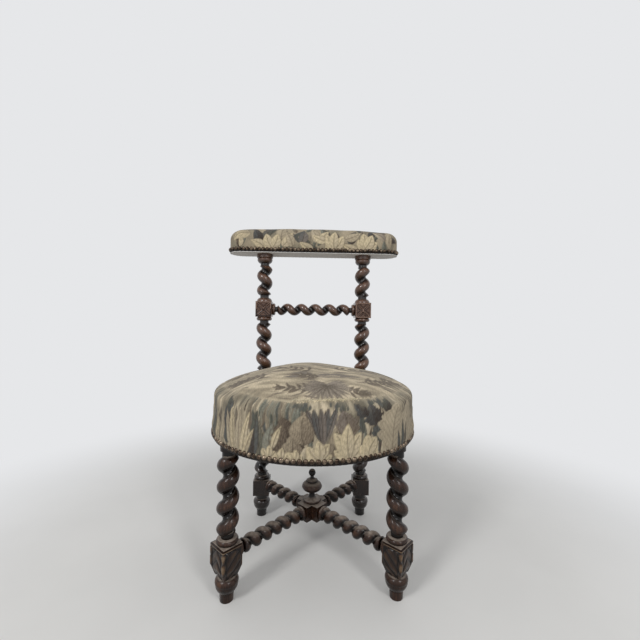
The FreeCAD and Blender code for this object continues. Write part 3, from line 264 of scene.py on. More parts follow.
# tones of the carving: painted shade in the groove and under the ledge, the rib and lobes paler, partly
# rubbed and partly painted highlight, and a painted highlight along the ledge's arris
rubbed = 0.16 + 0.46 * in_leaf * lobes + 0.34 * rib - 0.4 * groove - 0.3 * under_ledge
rubbed = np.clip(rubbed, 0.02, 0.84) * (1 - ledge) + 0.45 * ledge
rubbed += 0.6 * np.exp(-((up - 0.965) / 0.014) ** 2)
raised *= ease((along - EDGE_GAP) / 0.06) * ease((3 - EDGE_GAP - along) / 0.06)
raised *= ease(up / 0.04) * ease((1 - up) / 0.012)
level = TAPER_FOOT + (BLOCK_TOP - 2 * FLUSH - TAPER_FOOT) * up
widening = np.clip((level - TAPER_FOOT) / (BLOCK_FOOT - TAPER_FOOT), 0, 1)
half = TAPER_HALF + (BLOCK_HALF - TAPER_HALF) * widening
outward = np.clip(np.minimum(2 * along - 1, 5 - 2 * along), -1, 1)
across = np.clip(2 * along - 3, -1, 1)
lean_out = ease((along - 0.88) / 0.24) * ease((2.12 - along) / 0.24)
lean_across = np.sign(along - 1.5) * ease((abs(along - 1.5) - 0.38) / 0.24)
length = np.hypot(lean_out, lean_across)
leaf_wood = carved_walnut("carved_walnut_leaves", [
    (0.05, "#040202"), (0.3, "#150d0a"), (0.55, "#2c1f19"), (0.78, "#5b4530"), (1, "#86745f")])
for side, sign in SIDES:
    turned = -sign * STRETCHER_TURN
    shells = []
    for lift in (CARVED_DEPTH * raised - FLUSH, 0 * raised - SUNK):
        out = sign * (half * outward + lift * lean_out / length)
        aside = half * across + lift * lean_across / length
        shells.append(np.dstack([sign * LEG[0] + out * cos(turned) - aside * sin(turned),
                                 LEG[1] + out * sin(turned) + aside * cos(turned), level]))
    carving(f"carved_leaves_{side}", *shells, rubbed, leaf_wood)

# Back cross rail. A thinner twist of the same walnut between the posts, turned with half-round ends. Its
# tenons are glued into the carved blocks.
POST = (0.139, 0.175)
RAIL_HEIGHT = 0.5785
RAIL_HOLLOW, RAIL_PROUD = 0.005, 0.0165
BACK_GLOSS = 0.42
rail_wood = walnut("walnut_cross_rail", (0, POST[1], RAIL_HEIGHT), (0, pi / 2, 0), RAIL_HOLLOW, RAIL_PROUD,
                   dust=0.2, ends=(0, 1, 0.15, 0.15), gloss=BACK_GLOSS)
finish_node("back_cross_rail", rail_wood)

# Rear posts. Each is one piece of walnut from the floor to the crest, with three carved twists between
# square blocks. It is bolted to the seat ring, and its top tenon is glued into the crest board.
for side, sign in SIDES:
    # low down the post is darkened as painted shade under the seat
    post_wood = walnut(f"walnut_post_{side}", (sign * POST[0], POST[1], 0), (0, 0, 0),
                       TWIST_HOLLOW, TWIST_PROUD, dust=0.5, lying=0.8, ends=(0.1, 0.42, -0.2, 0.16),
                       gloss=BACK_GLOSS)
    finish_node(f"rear_post_{side}", post_wood)

# Panels carved in the walnut on the fronts of the upper blocks: crossed chevrons round a small oval, inside
# a raised edge. The left one is rubbed almost smooth below its middle.
POST_HALF = 0.022
PANEL_FOOT, PANEL_TOP = 0.557, 0.600
PANEL_DEPTH, PANEL_SHARE = 0.0024, 0.97
across, up = np.meshgrid(np.linspace(-1, 1, 70), np.linspace(-1, 1, 70))
arm = abs(up) - 0.9 * abs(across)
chevrons = np.exp(-((arm - 0.1) / 0.075) ** 2) + 0.7 * np.exp(-((arm - 0.42) / 0.07) ** 2)
chevrons += 0.6 * np.exp(-((arm + 0.3) / 0.07) ** 2)
oval = np.exp(-((across / 0.16) ** 2 + (up / 0.26) ** 2) ** 2)
border = ease((np.maximum(abs(across), abs(up)) - 0.82) / 0.06)
panel = np.maximum(np.maximum(chevrons, 0.9 * oval) * (1 - border), 0.9 * border)
panel *= ease((1 - abs(across)) / 0.03) * ease((1 - abs(up)) / 0.03)
panel_wood = carved_walnut("carved_walnut_panels", [
    (0.05, "#120b09"), (0.35, "#32211b"), (0.7, "#5f463b"), (1, "#957d6f")])
for side, sign in SIDES:
    crisp = 1 - 0.75 * ease((0.1 - up) / 0.2) if sign < 0 else 1 + 0 * up
    shells = []
    for lift in (PANEL_DEPTH * panel * crisp - FLUSH, 0 * panel - SUNK):
        height = (PANEL_FOOT + PANEL_TOP) / 2 + (PANEL_TOP - PANEL_FOOT) * PANEL_SHARE / 2 * up
        shells.append(np.dstack([sign * POST[0] + POST_HALF * PANEL_SHARE * across,
                                 POST[1] - POST_HALF - lift, height]))
    # the panel's heights are also its tones: painted shade in the cuts, paler where it stands proud
    carving(f"carved_panel_{side}", *shells, panel * crisp, panel_wood)

# Stretchers. Two twisted walnut bars that run from corner to corner, halve over each other at a square hub
# and are tenoned into the blocks of legs and posts. Dust lies on them, and the hub's edges are grimed.
STRETCHER_HEIGHT = 0.0895
BAR_HOLLOW, BAR_PROUD = 0.0075, 0.0157
for name, sign in (("over", -1), ("under", 1)):
    heading = STRETCHER_TURN if sign < 0 else pi - STRETCHER_TURN
    bar_wood = walnut(f"walnut_stretcher_{name}", (sign * LEG[0], LEG[1], STRETCHER_HEIGHT),
                      (0, pi / 2, heading), BAR_HOLLOW, BAR_PROUD, dust=0.95, lying=0.5, worn=0.9,
                      arris="#0e0806", shade_below=0.95)
    finish_node(f"stretcher_{name}", bar_wood)

# Finial. A walnut urn with a ball on top, turned in one piece and dowelled down through the halved joint.
# Its shoulders hold dust.
FINIAL_NECK, FINIAL_URN = 0.003, 0.026
finial_low, finial_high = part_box("stretcher_finial")
hub = (finial_low + finial_high) / 2
finial_wood = walnut("walnut_finial", (hub.x, hub.y, 0), (0, 0, 0), FINIAL_NECK, FINIAL_URN, dust=0.95,
                     lying=0.45, shade_below=0.8)
finish_node("stretcher_finial", finial_wood)


# Seat ring. Four sawn beech felloes butted end to end, with two dowels in each joint and iron bolts through
# the ring into the rear posts. The cover hides it all.
def plain_stuff(name, pale, deep, size, drawn, rough, metal=0.0):
    """Unpolished stuff, dull to the eye: two close tones in fibres about that size, drawn out one way."""
    made, tree = start_material(name)
    place = add(tree, "TexCoord", {})["Object"]
    streaks = add(tree, "Mapping", {"Vector": place, "Scale": drawn})[0]
    fibres = add(tree, "TexNoise", {"Vector": streaks, "Scale": 1 / size, "Detail": 4.0})["Fac"]
    colour = add(tree, "ValToRGB", {"Fac": fibres, "stops": [(0.32, deep), (0.68, pale)]})[0]
    bump = add(tree, "Bump", {"Strength": 0.4, "Distance": 0.0005, "Height": fibres})[0]
    shader = add(tree, "BsdfPrincipled", {"Base Color": colour, "Roughness": rough, "Metallic": metal,
                                          "Normal": bump})[0]
    add(tree, "OutputMaterial", {"Surface": shader})
    return made


beech = plain_stuff("sawn_beech", "#b48d62", "#8f6b47", 0.006, (1, 1, 0.3), 0.7)
for name in ("seat_ring_front_left", "seat_ring_front_right", "seat_ring_rear_left", "seat_ring_rear_right",
             "ring_dowels"):
    finish_node(name, beech)
iron = plain_stuff("black_iron", "#4b4744", "#2a2725", 0.004, (1, 1, 1), 0.5, 0.85)
finish_node("ring_bolts", iron)

# Springing. Jute webs strained across the ring and tacked, coppered coil springs stood on them, and hessian
# laid over all. The cover hides it.
webbing = plain_stuff("jute_webbing", "#a58a5f", "#7d6645", 0.0025, (1, 1, 1), 0.9)
for name in ("webbing_front_to_back", "webbing_side_to_side"):
    finish_node(name, webbing)
finish_node("webbing_tacks", iron)
finish_node("seat_springs", plain_stuff("coppered_wire", "#7a5540", "#4d3a30", 0.005, (1, 1, 1), 0.4, 0.9))
finish_node("seat_hessian", plain_stuff("hessian", "#a08a62", "#836e4c", 0.002, (1, 1, 1), 0.95))

# Seat cover. Wool tapestry over a sprung and stuffed drum: a round top sewn to an upright band at the rim,
# pulled down hard, turned under the seat ring and close-nailed along its lower edge.
SEAT_RADIUS, SEAT_FOOT, SEAT_EDGE, SEAT_CROWN, EDGE_ROUND = 0.225, 0.300, 0.402, 0.445, 0.014
NAIL_HEIGHT = 0.308
TOP_CELLS = 99
PAD_TAKE_IN = 0.002
BAND_LENGTH = tau * SEAT_RADIUS * 1000
STUFFING_PRESSURE, SETTLE_FRAMES = 3.0, 20


def read(items, field, width):
    """One field of a mesh's points, or of an attribute on them, as the rows of an array."""
    values = np.empty(len(items) * width, np.float32)
    items.foreach_get(field, values)
    return values.reshape(-1, width)


def upholster(piece, held, most):
    """Let the cloth settle over its stuffing: fast where it is nailed, pushed out from inside elsewhere."""
    before = read(piece.data.vertices, "co", 3)
    piece.vertex_groups.new(name="held").add([int(index) for index in held], 1, "REPLACE")
    cloth = piece.modifiers.new("cloth", "CLOTH")
    for setting, value in (("vertex_group_mass", "held"), ("quality", 6), ("mass", 0.25),
                           ("tension_stiffness", 30), ("compression_stiffness", 30),
                           ("shear_stiffness", 12), ("bending_stiffness", 3), ("use_pressure", True),
                           ("uniform_pressure_force", STUFFING_PRESSURE)):
        setattr(cloth.settings, setting, value)
    cloth.settings.effector_weights.gravity = 0
    cloth.collision_settings.use_collision = False
    scene = bpy.context.scene
    for step in range(1, SETTLE_FRAMES + 1):
        scene.frame_set(step)
    settled = piece.evaluated_get(bpy.context.evaluated_depsgraph_get())
    shift = read(settled.data.vertices, "co", 3) - before
    reach = np.linalg.norm(shift, axis=1, keepdims=True)
    shift *= np.minimum(1, most / np.maximum(reach, 1e-9))
    piece.modifiers.remove(cloth)
    scene.frame_set(1)
    piece.data.vertices.foreach_set("co", (before + shift).ravel())
    piece.data.update()


def refine(piece):
    """Subdivide a cloth once and keep the finer mesh."""
    piece.modifiers.new("finer", "SUBSURF").levels = 1
    shaped = piece.evaluated_get(bpy.context.evaluated_depsgraph_get())
    finer = bpy.data.meshes.new_from_object(shaped)
    piece.modifiers.clear()
    piece.data = finer
    piece.data.shade_smooth()


def mottle(at, size, seed):
    """Smooth uneven field from -1 to 1, its patches about as wide as size."""
    draw = np.random.RandomState(seed)
    total = 0
    for _ in range(9):
        way = draw.uniform(0, tau)
        wave = size * draw.uniform(1.2, 2.8)
        run = at[:, 0] * cos(way) + at[:, 1] * sin(way)
        total = total + np.sin(run * tau / wave + draw.uniform(0, tau))
    return np.clip(total / 4.2, -1, 1)


def dye(code):
    """Colour of one wool, to mix in arrays."""
    return np.array(linear(code))


# wools of the verdure, faded by light and wear
CREAM, SAND, KHAKI = dye("#d2c29f"), dye("#bfb197"), dye("#a69982")
OLIVE, SAGE, MOSS = dye("#857d6b"), dye("#8a8b7e"), dye("#5a5b50")
SLATE, DUSK, BARK, UMBER = dye("#5a5b59"), dye("#66605b"), dye("#736657"), dye("#392f28")
ASH, STONE = dye("#9b9083"), dye("#82786e")


def start_canvas(at, length, pale, deep, patch, seed):
    """A woven ground to lay leaves on: places in millimetres and a colour for each."""
    blend = np.clip(0.5 + 0.7 * mottle(at * (1, 0.6), patch, seed), 0, 1)[:, None]
    fleck = np.random.RandomState(seed + 1).uniform(-1, 1, len(at))
    return {"at": at, "length": length, "colour": pale * (1 - blend) + deep * blend, "fleck": fleck}


def leaf(canvas, base, heading, length, width, pale, deep, lobes=0, line=0.85, blunt=0.72):
    """Weave one leaf: heading in degrees from upright, lighter on one side of its rib, outlined dark on the
    other. A larger blunt puts its widest place nearer the tip."""
    run = canvas["at"][:, 0] - base[0]
    if canvas["length"]:
        run = (run + canvas["length"] / 2) % canvas["length"] - canvas["length"] / 2
    rise = canvas["at"][:, 1] - base[1]
    near = np.flatnonzero((abs(run) < length + width) & (abs(rise) < length + width))
    run, rise = run[near], rise[near]
    turned = radians(heading)
    along = (run * sin(turned) + rise * cos(turned)) / length
    across = run * cos(turned) - rise * sin(turned)
    inside = np.clip(along, 0, 1)
    across = across - width * 0.12 * np.sin(pi * inside) * np.sign(sin(heading * 7.3 + length))
    half = width / 2 * np.clip(np.sin(pi * inside ** blunt), 0, 1) ** (0.85 if blunt < 1 else 0.7)
    if lobes:
        half = half * (0.8 + 0.3 * np.abs(np.sin(pi * lobes * inside + 0.4)))
    gap = half - abs(across)
    kept = np.clip(gap / 1.5 + 0.5, 0, 1) * (along > 0) * (along < 1)
    fleck = canvas["fleck"][near]
    side = 0.5 + 0.5 * np.tanh(across / (0.1 * width))
    hatch = 0.5 + 0.5 * np.sin(across * tau / 3.1 + along * 5 + fleck)
    deepness = np.clip(0.6 - 0.7 * inside + 0.45 * side + 0.45 * (hatch - 0.5) + 0.2 * fleck, 0, 1)[:, None]
    tint = pale * (1 - deepness) + deep * deepness
    vein = 0.3 * np.exp(-(((inside * length - 0.9 * abs(across)) / 11 % 1 - 0.5) / 0.13) ** 2)
    rib = 0.75 * np.exp(-(across / 1.1) ** 2) * (inside < 0.86)
    inner = 0.45 * np.exp(-((gap - 8) / 1.3) ** 2) * (lobes > 0)
    edge = np.exp(-(np.minimum(gap, 6) / 1.4) ** 2) * (gap > -1.2) * (0.4 + 0.6 * side)
    drawn = np.maximum(np.maximum(rib, vein * (gap > 1.5)), np.maximum(edge, inner))
    drawn = np.clip(drawn * line, 0, 1)[:, None]
    tint = tint * (1 - drawn) + UMBER * drawn
    kept = kept[:, None]
    canvas["colour"][near] = canvas["colour"][near] * (1 - kept) + tint * kept


def fan(canvas, base, heading, spread, count, length, width, pale, deep, blunt=0.72):
    """A cluster of leaves from one stalk, the middle ones longest and on top."""
    order = sorted(range(count), key=lambda place: -abs(place - (count - 1) / 2))
    for place in order:
        share = (place / (count - 1) - 0.5) if count > 1 else 0
        size = length * (1 - 0.42 * (2 * share) ** 2) * (1 + 0.07 * sin(5 * place + base[0]))
        leaf(canvas, base, heading + spread * share, size, width * (0.85 + 0.15 * size / length),
             pale, deep, blunt=blunt)


def spray(canvas, base, heading, length, pairs, leaf_length, leaf_width, pale, deep):
    """A stalk with narrow leaves in pairs, pointing forward."""
    turned = radians(heading)
    for step in range(pairs):
        share = (step + 0.5) / pairs
        foot = (base[0] + length * share * sin(turned), base[1] + length * share * cos(turned))
        for way in (-1, 1):
            uneven = sin(3.7 * step + 2.1 * way + base[0])
            size = leaf_length * (1.1 - 0.5 * share) * (1 + 0.3 * uneven)
            leaf(canvas, foot, heading + way * (58 - 22 * share) + 13 * uneven, size,
                 leaf_width * (1 - 0.2 * uneven), pale, deep, line=0.5)
    tip = (base[0] + length * 0.85 * sin(turned), base[1] + length * 0.85 * cos(turned))
    leaf(canvas, tip, heading, leaf_length * 0.8, leaf_width, pale, deep, line=0.5)


def tapestry(name):
    """Weft-faced wool: upright ribs, each painted lighter on its crest and darker beside it as painted
    light, each pass of yarn a little lighter or darker than the next, and a dry nap that scatters light at
    the edges.
    The ribs are drawn 2 mm apart, about twice the real spacing."""
    made, tree = start_material(name)
    woven = add(tree, "Attribute", {"attribute_name": "woven"})["Vector"]
    cloth = add(tree, "UVMap", {"uv_map": "weave"})[0]
    ribs = add(tree, "TexWave", {"bands_direction": "X", "Vector": cloth, "Scale": 0.314 / 0.002,
                                 "Distortion": 1.2, "Detail": 1.0, "Detail Scale": 1.5})["Fac"]
    passes = add(tree, "Mapping", {"Vector": cloth, "Scale": (1, 0.22, 1)})[0]
    yarn = add(tree, "TexNoise", {"Vector": passes, "Scale": 1 / 0.0019, "Detail": 3.0,
                                  "Roughness": 0.65})["Fac"]
    fading = add(tree, "TexNoise", {"Vector": cloth, "Scale": 1 / 0.06, "Detail": 3.0})["Fac"]
    yarn_tone = add(tree, "MapRange", {"Value": yarn, "From Min": 0.28, "From Max": 0.72, "To Min": 0.74,
                                       "To Max": 1.24})[0]
    rib_painted_light = add(tree, "MapRange", {"Value": ribs, "To Min": 0.88, "To Max": 1.06})[0]
    fade_tone = add(tree, "MapRange", {"Value": fading, "From Min": 0.3, "From Max": 0.7, "To Min": 0.9,
                                       "To Max": 1.1})[0]
    both = add(tree, "Math", {"operation": "MULTIPLY", 0: yarn_tone, 1: rib_painted_light})[0]
    tone = add(tree, "Math", {"operation": "MULTIPLY", 0: both, 1: fade_tone})[0]
    colour = add(tree, "VectorMath", {"operation": "SCALE", 0: woven, "Scale": tone})[0]
    height = add(tree, "Math", {"operation": "MULTIPLY_ADD", 0: yarn, 1: 0.8, 2: ribs})[0]
    bump = add(tree, "Bump", {"Strength": 0.55, "Distance": 0.0006, "Height": height})[0]
    shader = add(tree, "BsdfPrincipled", {"Base Color": colour, "Roughness": 0.93, "IOR": 1.45,
                                          "Specular IOR Level": 0.3, "Sheen Weight": 0.12,
                                          "Sheen Roughness": 0.5, "Normal": bump})[0]
    add(tree, "OutputMaterial", {"Surface": shader})
    return made


def paint_shade_under_nails(pattern, heights, nail_height):
    """Paint shade into a cloth's colours under and below its row of nails, where their shadow line falls.
    """
    low = ease((nail_height + 0.0025 - heights) / 0.003)[:, None]
    return pattern * (1 - low) + UMBER * 0.35 * low


def corner_order(piece):
    """Numbers of the points at the corners of a cloth's faces."""
    order = np.empty(len(piece.data.loops), np.int32)
    piece.data.loops.foreach_get("vertex_index", order)
    return order


def weave(piece, colours, places, name):
    """Keep a colour for each point and a place in the weave for each corner, and make the cloth of wool."""
    woven = piece.data.attributes.new("woven", "FLOAT_VECTOR", "POINT")
    woven.data.foreach_set("vector", np.asarray(colours, np.float32).ravel())
    laid = piece.data.uv_layers.new(name="weave")
    laid.data.foreach_set("uv", np.asarray(places, np.float32).ravel())
    piece.data.materials.append(tapestry(name))


# The top starts as a square net laid on the round, so that its outer loop meets the band's columns. Strip
# is how far each point is from the crown along the cloth.
dome = (SEAT_RADIUS - EDGE_ROUND) ** 2 + (SEAT_CROWN - SEAT_EDGE) ** 2
dome /= 2 * (SEAT_CROWN - SEAT_EDGE)
dome_run = dome * np.arcsin((SEAT_RADIUS - EDGE_ROUND) / dome)
top_run = dome_run + EDGE_ROUND * pi / 2
net = np.linspace(-1, 1, TOP_CELLS + 1)
shrink = 1 - PAD_TAKE_IN / SEAT_RADIUS
spots, strip, loop = [], [], []
for right in net:
    for rear in net:
        ring, way = max(abs(right), abs(rear)), 0
        if abs(right) >= abs(rear) and ring:
            way = pi / 4 * rear / right + (pi if right < 0 else 0)
        elif ring:
            way = pi / 2 - pi / 4 * right / rear + (pi if rear < 0 else 0)
        run = ring * top_run
        if run < dome_run:
            reach = dome * sin(run / dome)
            height = SEAT_CROWN - dome * (1 - cos(run / dome))
        else:
            bend = (run - dome_run) / EDGE_ROUND
            reach = SEAT_RADIUS - EDGE_ROUND + EDGE_ROUND * sin(bend)
            height = SEAT_EDGE - EDGE_ROUND + EDGE_ROUND * cos(bend)
        if ring > 1 - 1e-9:
            loop.append((way % tau, len(spots)))
        spots.append((reach * shrink * cos(way), reach * shrink * sin(way), height - PAD_TAKE_IN))
        strip.append(run)
side_count = TOP_CELLS + 1
faces = []
for row in range(TOP_CELLS):
    for column in range(TOP_CELLS):
        corner = row * side_count + column
        faces.append((corner, corner + side_count, corner + side_count + 1, corner + 1))
loop.sort()
columns = len(loop)
above = [index for way, index in loop]
RING_TOP = 0.355
PITCH = 3
band_rows = []
for height in np.linspace(SEAT_EDGE - EDGE_ROUND, NAIL_HEIGHT, 19)[1:]:
    band_rows.append((SEAT_RADIUS - (PAD_TAKE_IN if height > RING_TOP + 0.01 else 0.0006), height))
band_rows += [(SEAT_RADIUS - 0.0002, NAIL_HEIGHT - 0.004), (SEAT_RADIUS - 0.0004, SEAT_FOOT + 0.0006),
              (SEAT_RADIUS - 0.003, SEAT_FOOT - 0.0006), (SEAT_RADIUS - 0.012, SEAT_FOOT - 0.0008)]
held = []
for reach, height in band_rows:
    below = []
    for column, (way, _) in enumerate(loop):
        nailed = (column - 1) % PITCH == 0 and height <= NAIL_HEIGHT
        below.append(len(spots))
        if nailed or height < NAIL_HEIGHT - 0.001:
            held.append(len(spots))
        spots.append((reach * cos(way), reach * sin(way), height))
        strip.append(top_run + SEAT_EDGE - EDGE_ROUND - height)
    for column in range(columns):
        following = (column + 1) % columns
        faces.append((below[column], below[following], above[following], above[column]))
    above = below
seat_cover = link_piece("seat_tapestry", spots, faces)
kept_strip = seat_cover.data.attributes.new("strip", "FLOAT", "POINT")
kept_strip.data.foreach_set("value", np.array(strip, np.float32))
spots = np.array(spots)
# the cloth is cut and tucked in round the posts
TUCK, SEAT_MOST = 0.004, 0.006
beside = np.maximum(abs(abs(spots[:, 0]) - POST[0]), POST[1] - spots[:, 1]) - POST_HALF
held += list(np.flatnonzero(beside < TUCK))
upholster(seat_cover, sorted(set(held)), SEAT_MOST)
refine(seat_cover)

# near the nails the cloth puffs out between them, over the front legs it is gathered, and the top is uneven
spots = read(seat_cover.data.vertices, "co", 3)
strip = read(seat_cover.data.attributes["strip"].data, "value", 1)[:, 0]
turned = np.arctan2(spots[:, 0], -spots[:, 1])
band_run = top_run + SEAT_EDGE - EDGE_ROUND - SEAT_FOOT
outward = np.column_stack([np.sin(turned), -np.cos(turned)])
unrolled = np.column_stack([turned * SEAT_RADIUS, band_run - strip]) * 1000
above_nails = np.clip(spots[:, 2] - NAIL_HEIGHT, 0, None)
pulls = np.cos(columns / PITCH * turned) * (0.6 + 0.5 * mottle(unrolled, 60, 3))
pulls *= np.exp(-above_nails / 0.011)
bulge = np.exp(-((abs(turned) - 1.15) / 0.3) ** 2 - ((spots[:, 2] - 0.325) / 0.012) ** 2)
slack = mottle(unrolled * (1, 0.35), 45, 5)
dart = np.exp(-((turned - 1.27) / 0.02) ** 2 - ((strip - dome_run - 0.004) / 0.011) ** 2)
on_wall = ease((strip - dome_run) / 0.02)
# beside the ring it lies on the wood, and round the posts it stays under their collars
least = np.where(spots[:, 2] < RING_TOP + 0.004, SEAT_RADIUS - 0.0012, 0)
pushed = on_wall * (0.0009 * pulls + 0.0035 * bulge + 0.0007 * slack) - 0.002 * dart
spots[:, :2] += outward * pushed[:, None]
reach = np.hypot(spots[:, 0], spots[:, 1])
short = (spots[:, 2] > SEAT_FOOT) & (on_wall > 0.9) & (reach < least)
spots[:, :2] *= np.where(short, least / reach, 1)[:, None]
spots[:, 2] += (1 - on_wall) * 0.0022 * mottle(spots[:, :2] * 1000, 130, 7)
SHOULDER, COLLAR_RADIUS = 0.393, 0.0195
from_post = np.hypot(abs(spots[:, 0]) - POST[0], spots[:, 1] - POST[1])
spots[:, 2] = np.minimum(spots[:, 2], SHOULDER + 0.9 * np.clip(from_post - COLLAR_RADIUS, 0, None))
seat_cover.data.vertices.foreach_set("co", spots.ravel())
seat_cover.data.update()


def notch(shell):
    """Cut away the cloth inside the posts, with its edge left in the wood."""
    cut_away = []
    for face in shell.faces:
        middle = face.calc_center_median()
        inset = max(abs(abs(middle.x) - POST[0]), POST[1] - middle.y)
        near_axis = ((abs(middle.x) - POST[0]) ** 2 + (middle.y - POST[1]) ** 2) ** 0.5
        if near_axis < COLLAR_RADIUS or (middle.z < SHOULDER - 0.004 and inset < POST_HALF - 0.003):
            cut_away.append(face)
    bmesh.ops.delete(shell, geom=cut_away, context="FACES")


rework(seat_cover.data, notch)

# the woven pattern: a verdure of big leaves on a faded ground, upright on the band and spreading on the top
spots = read(seat_cover.data.vertices, "co", 3)
strip = read(seat_cover.data.attributes["strip"].data, "value", 1)[:, 0]
turned = np.arctan2(spots[:, 0], -spots[:, 1])
SEAM = dome_run - 0.009
on_band = strip > SEAM
unrolled = np.column_stack([turned * SEAT_RADIUS, band_run - strip])[on_band] * 1000
draw = np.random.RandomState(21)
HALF_ROUND = 707

band = start_canvas(unrolled, BAND_LENGTH, SAND * 0.92, OLIVE, 34, 11)
streaks = np.clip(0.55 * mottle(unrolled * (1, 0.16), 7, 13), -0.35, 0.35)[:, None]
band["colour"] = band["colour"] * (1 + streaks)
# dull grasses behind, in tufts all round
GRASSES = ((SAGE, MOSS), (OLIVE, BARK), (KHAKI, OLIVE), (SAND, KHAKI), (SLATE, MOSS))
for _ in range(150):
    spot = (draw.uniform(-HALF_ROUND, HALF_ROUND), draw.uniform(-4, 74))
    pale, deep = GRASSES[draw.randint(5)]
    leaf(band, spot, draw.uniform(-16, 16), draw.uniform(30, 58), draw.uniform(6, 12), pale, deep, line=0.5)
# dark stems and shadows between them
for _ in range(170):
    spot = (draw.uniform(-HALF_ROUND, HALF_ROUND), draw.uniform(0, 84))
    leaf(band, spot, draw.uniform(-20, 20), draw.uniform(16, 40), draw.uniform(3, 5), BARK, UMBER, line=0.8)
# sage and dark green streaks, upper left, and an olive patch below them
for step in range(54):
    spot = (draw.uniform(-130, -26), draw.uniform(52, 84))
    leaf(band, spot, draw.uniform(-9, 9), draw.uniform(52, 74), draw.uniform(4, 9),
         (SAGE, OLIVE, KHAKI, SAGE, MOSS)[step % 5], (MOSS, BARK, OLIVE, OLIVE, SLATE)[step % 5], line=0.2)
# dark patches under the worn rim
for step in range(34):
    spot = ((-44, 26, 104)[step % 3] + draw.uniform(0, 32), draw.uniform(92, 104))
    leaf(band, spot, draw.uniform(-14, 14), draw.uniform(10, 22), draw.uniform(4, 8), SLATE, MOSS, line=0.3)
for spot, heading, length, width, pale, deep, lobes in (
        ((-98, 6), -4, 66, 24, OLIVE, MOSS, 0), ((-82, 8), 5, 62, 26, SAGE, OLIVE, 0),
        ((-112, 8), 3, 84, 20, MOSS, SLATE, 0), ((-121, 2), 8, 58, 14, SLATE, UMBER, 0),
        # dark scalloped leaves, upper right
        ((118, 62), -14, 44, 40, SLATE, UMBER, 4), ((122, 32), 12, 38, 34, SLATE, MOSS, 4),
        ((97, 80), -38, 36, 24, SLATE, UMBER, 3), ((138, 84), 30, 34, 24, MOSS, UMBER, 3),
        # dark uprights at the left
        ((-188, 40), 2, 52, 22, SLATE, UMBER, 0), ((-186, 14), -4, 40, 18, SLATE, MOSS, 0),
        ((-180, 74), -18, 34, 18, MOSS, SLATE, 0), ((-246, 8), 4, 70, 20, SLATE, MOSS, 0),
        # broad wedges that meet low in the middle
        ((-16, 97), 156, 66, 13, STONE, DUSK, 0), ((36, 98), 200, 66, 13, STONE, SLATE, 0),
        ((-4, 99), 166, 70, 13, DUSK, SLATE, 0), ((23, 100), 189, 72, 13, SLATE, DUSK, 0),
        ((9, 100), 177, 76, 13, STONE, DUSK, 0),
        # brown bushes
        ((52, 40), -4, 56, 46, STONE, BARK, 4), ((27, 14), 10, 54, 26, KHAKI, BARK, 0),
        ((-52, 12), -6, 70, 62, BARK, UMBER, 6), ((-37, 10), 4, 46, 34, KHAKI, BARK, 3),
        ((-19, 36), 0, 54, 44, KHAKI, BARK, 0),
        # the big pale lobed leaves at the right
        ((158, 4), 16, 100, 84, SAND, KHAKI, 5), ((218, 4), 6, 92, 66, SAND, KHAKI, 5),
        ((190, 0), 3, 62, 12, MOSS, SLATE, 0), ((201, 0), 8, 54, 10, OLIVE, UMBER, 0),
        ((182, 0), -8, 44, 10, SLATE, MOSS, 0), ((246, 0), 4, 74, 12, SAND, BARK, 0),
        ((258, 0), -3, 62, 12, CREAM, BARK, 0),
        # pale flames at the left
        ((-166, 0), -16, 84, 18, SAND, KHAKI, 0), ((-160, 0), -7, 100, 19, CREAM, KHAKI, 0),
        ((-150, 0), 2, 98, 18, SAND, KHAKI, 0), ((-142, 0), 12, 88, 17, CREAM, SAND, 0),
        ((-138, 0), 24, 62, 15, CREAM, KHAKI, 0), ((-208, 0), 4, 78, 16, SAND, KHAKI, 0),
        ((-224, 0), -4, 70, 16, CREAM, KHAKI, 0), ((-76, 26), 22, 44, 13, CREAM, SAND, 0)):
    leaf(band, spot, heading, length, width, pale, deep, lobes)
fan(band, (7, 8), -4, 134, 5, 40, 21, CREAM, SAND, blunt=0.95)
fan(band, (60, 8), -2, 112, 5, 60, 27, CREAM, SAND, blunt=0.95)
fan(band, (95, 8), 16, 92, 4, 44, 28, CREAM, SAND, blunt=1.2)
for spot in ((-84, 8), (-58, 6), (-35, 6)):
    fan(band, spot, draw.uniform(-8, 8), 150, 5, 22, 13, CREAM, SAND, blunt=1.2)
# round the sides and back the same plants come again
for spot in range(292, 1124, 46):
    at = (spot + draw.uniform(-8, 8), draw.uniform(0, 12))
    kind = draw.randint(5)
    if kind == 0:
        fan(band, at, draw.uniform(-12, 12), 120, 5, draw.uniform(44, 64), 23, CREAM, SAND)
    elif kind == 1:
        leaf(band, at, draw.uniform(-14, 14), 92, 70, SAND, KHAKI, 5)
    elif kind == 2:
        fan(band, (at[0], 20), 0, 60, 4, 86, 19, SLATE, MOSS)
    elif kind == 3:
        fan(band, at, 0, 44, 5, 98, 17, CREAM, KHAKI)
    else:
        leaf(band, at, draw.uniform(-10, 10), 74, 62, BARK, UMBER, 6)

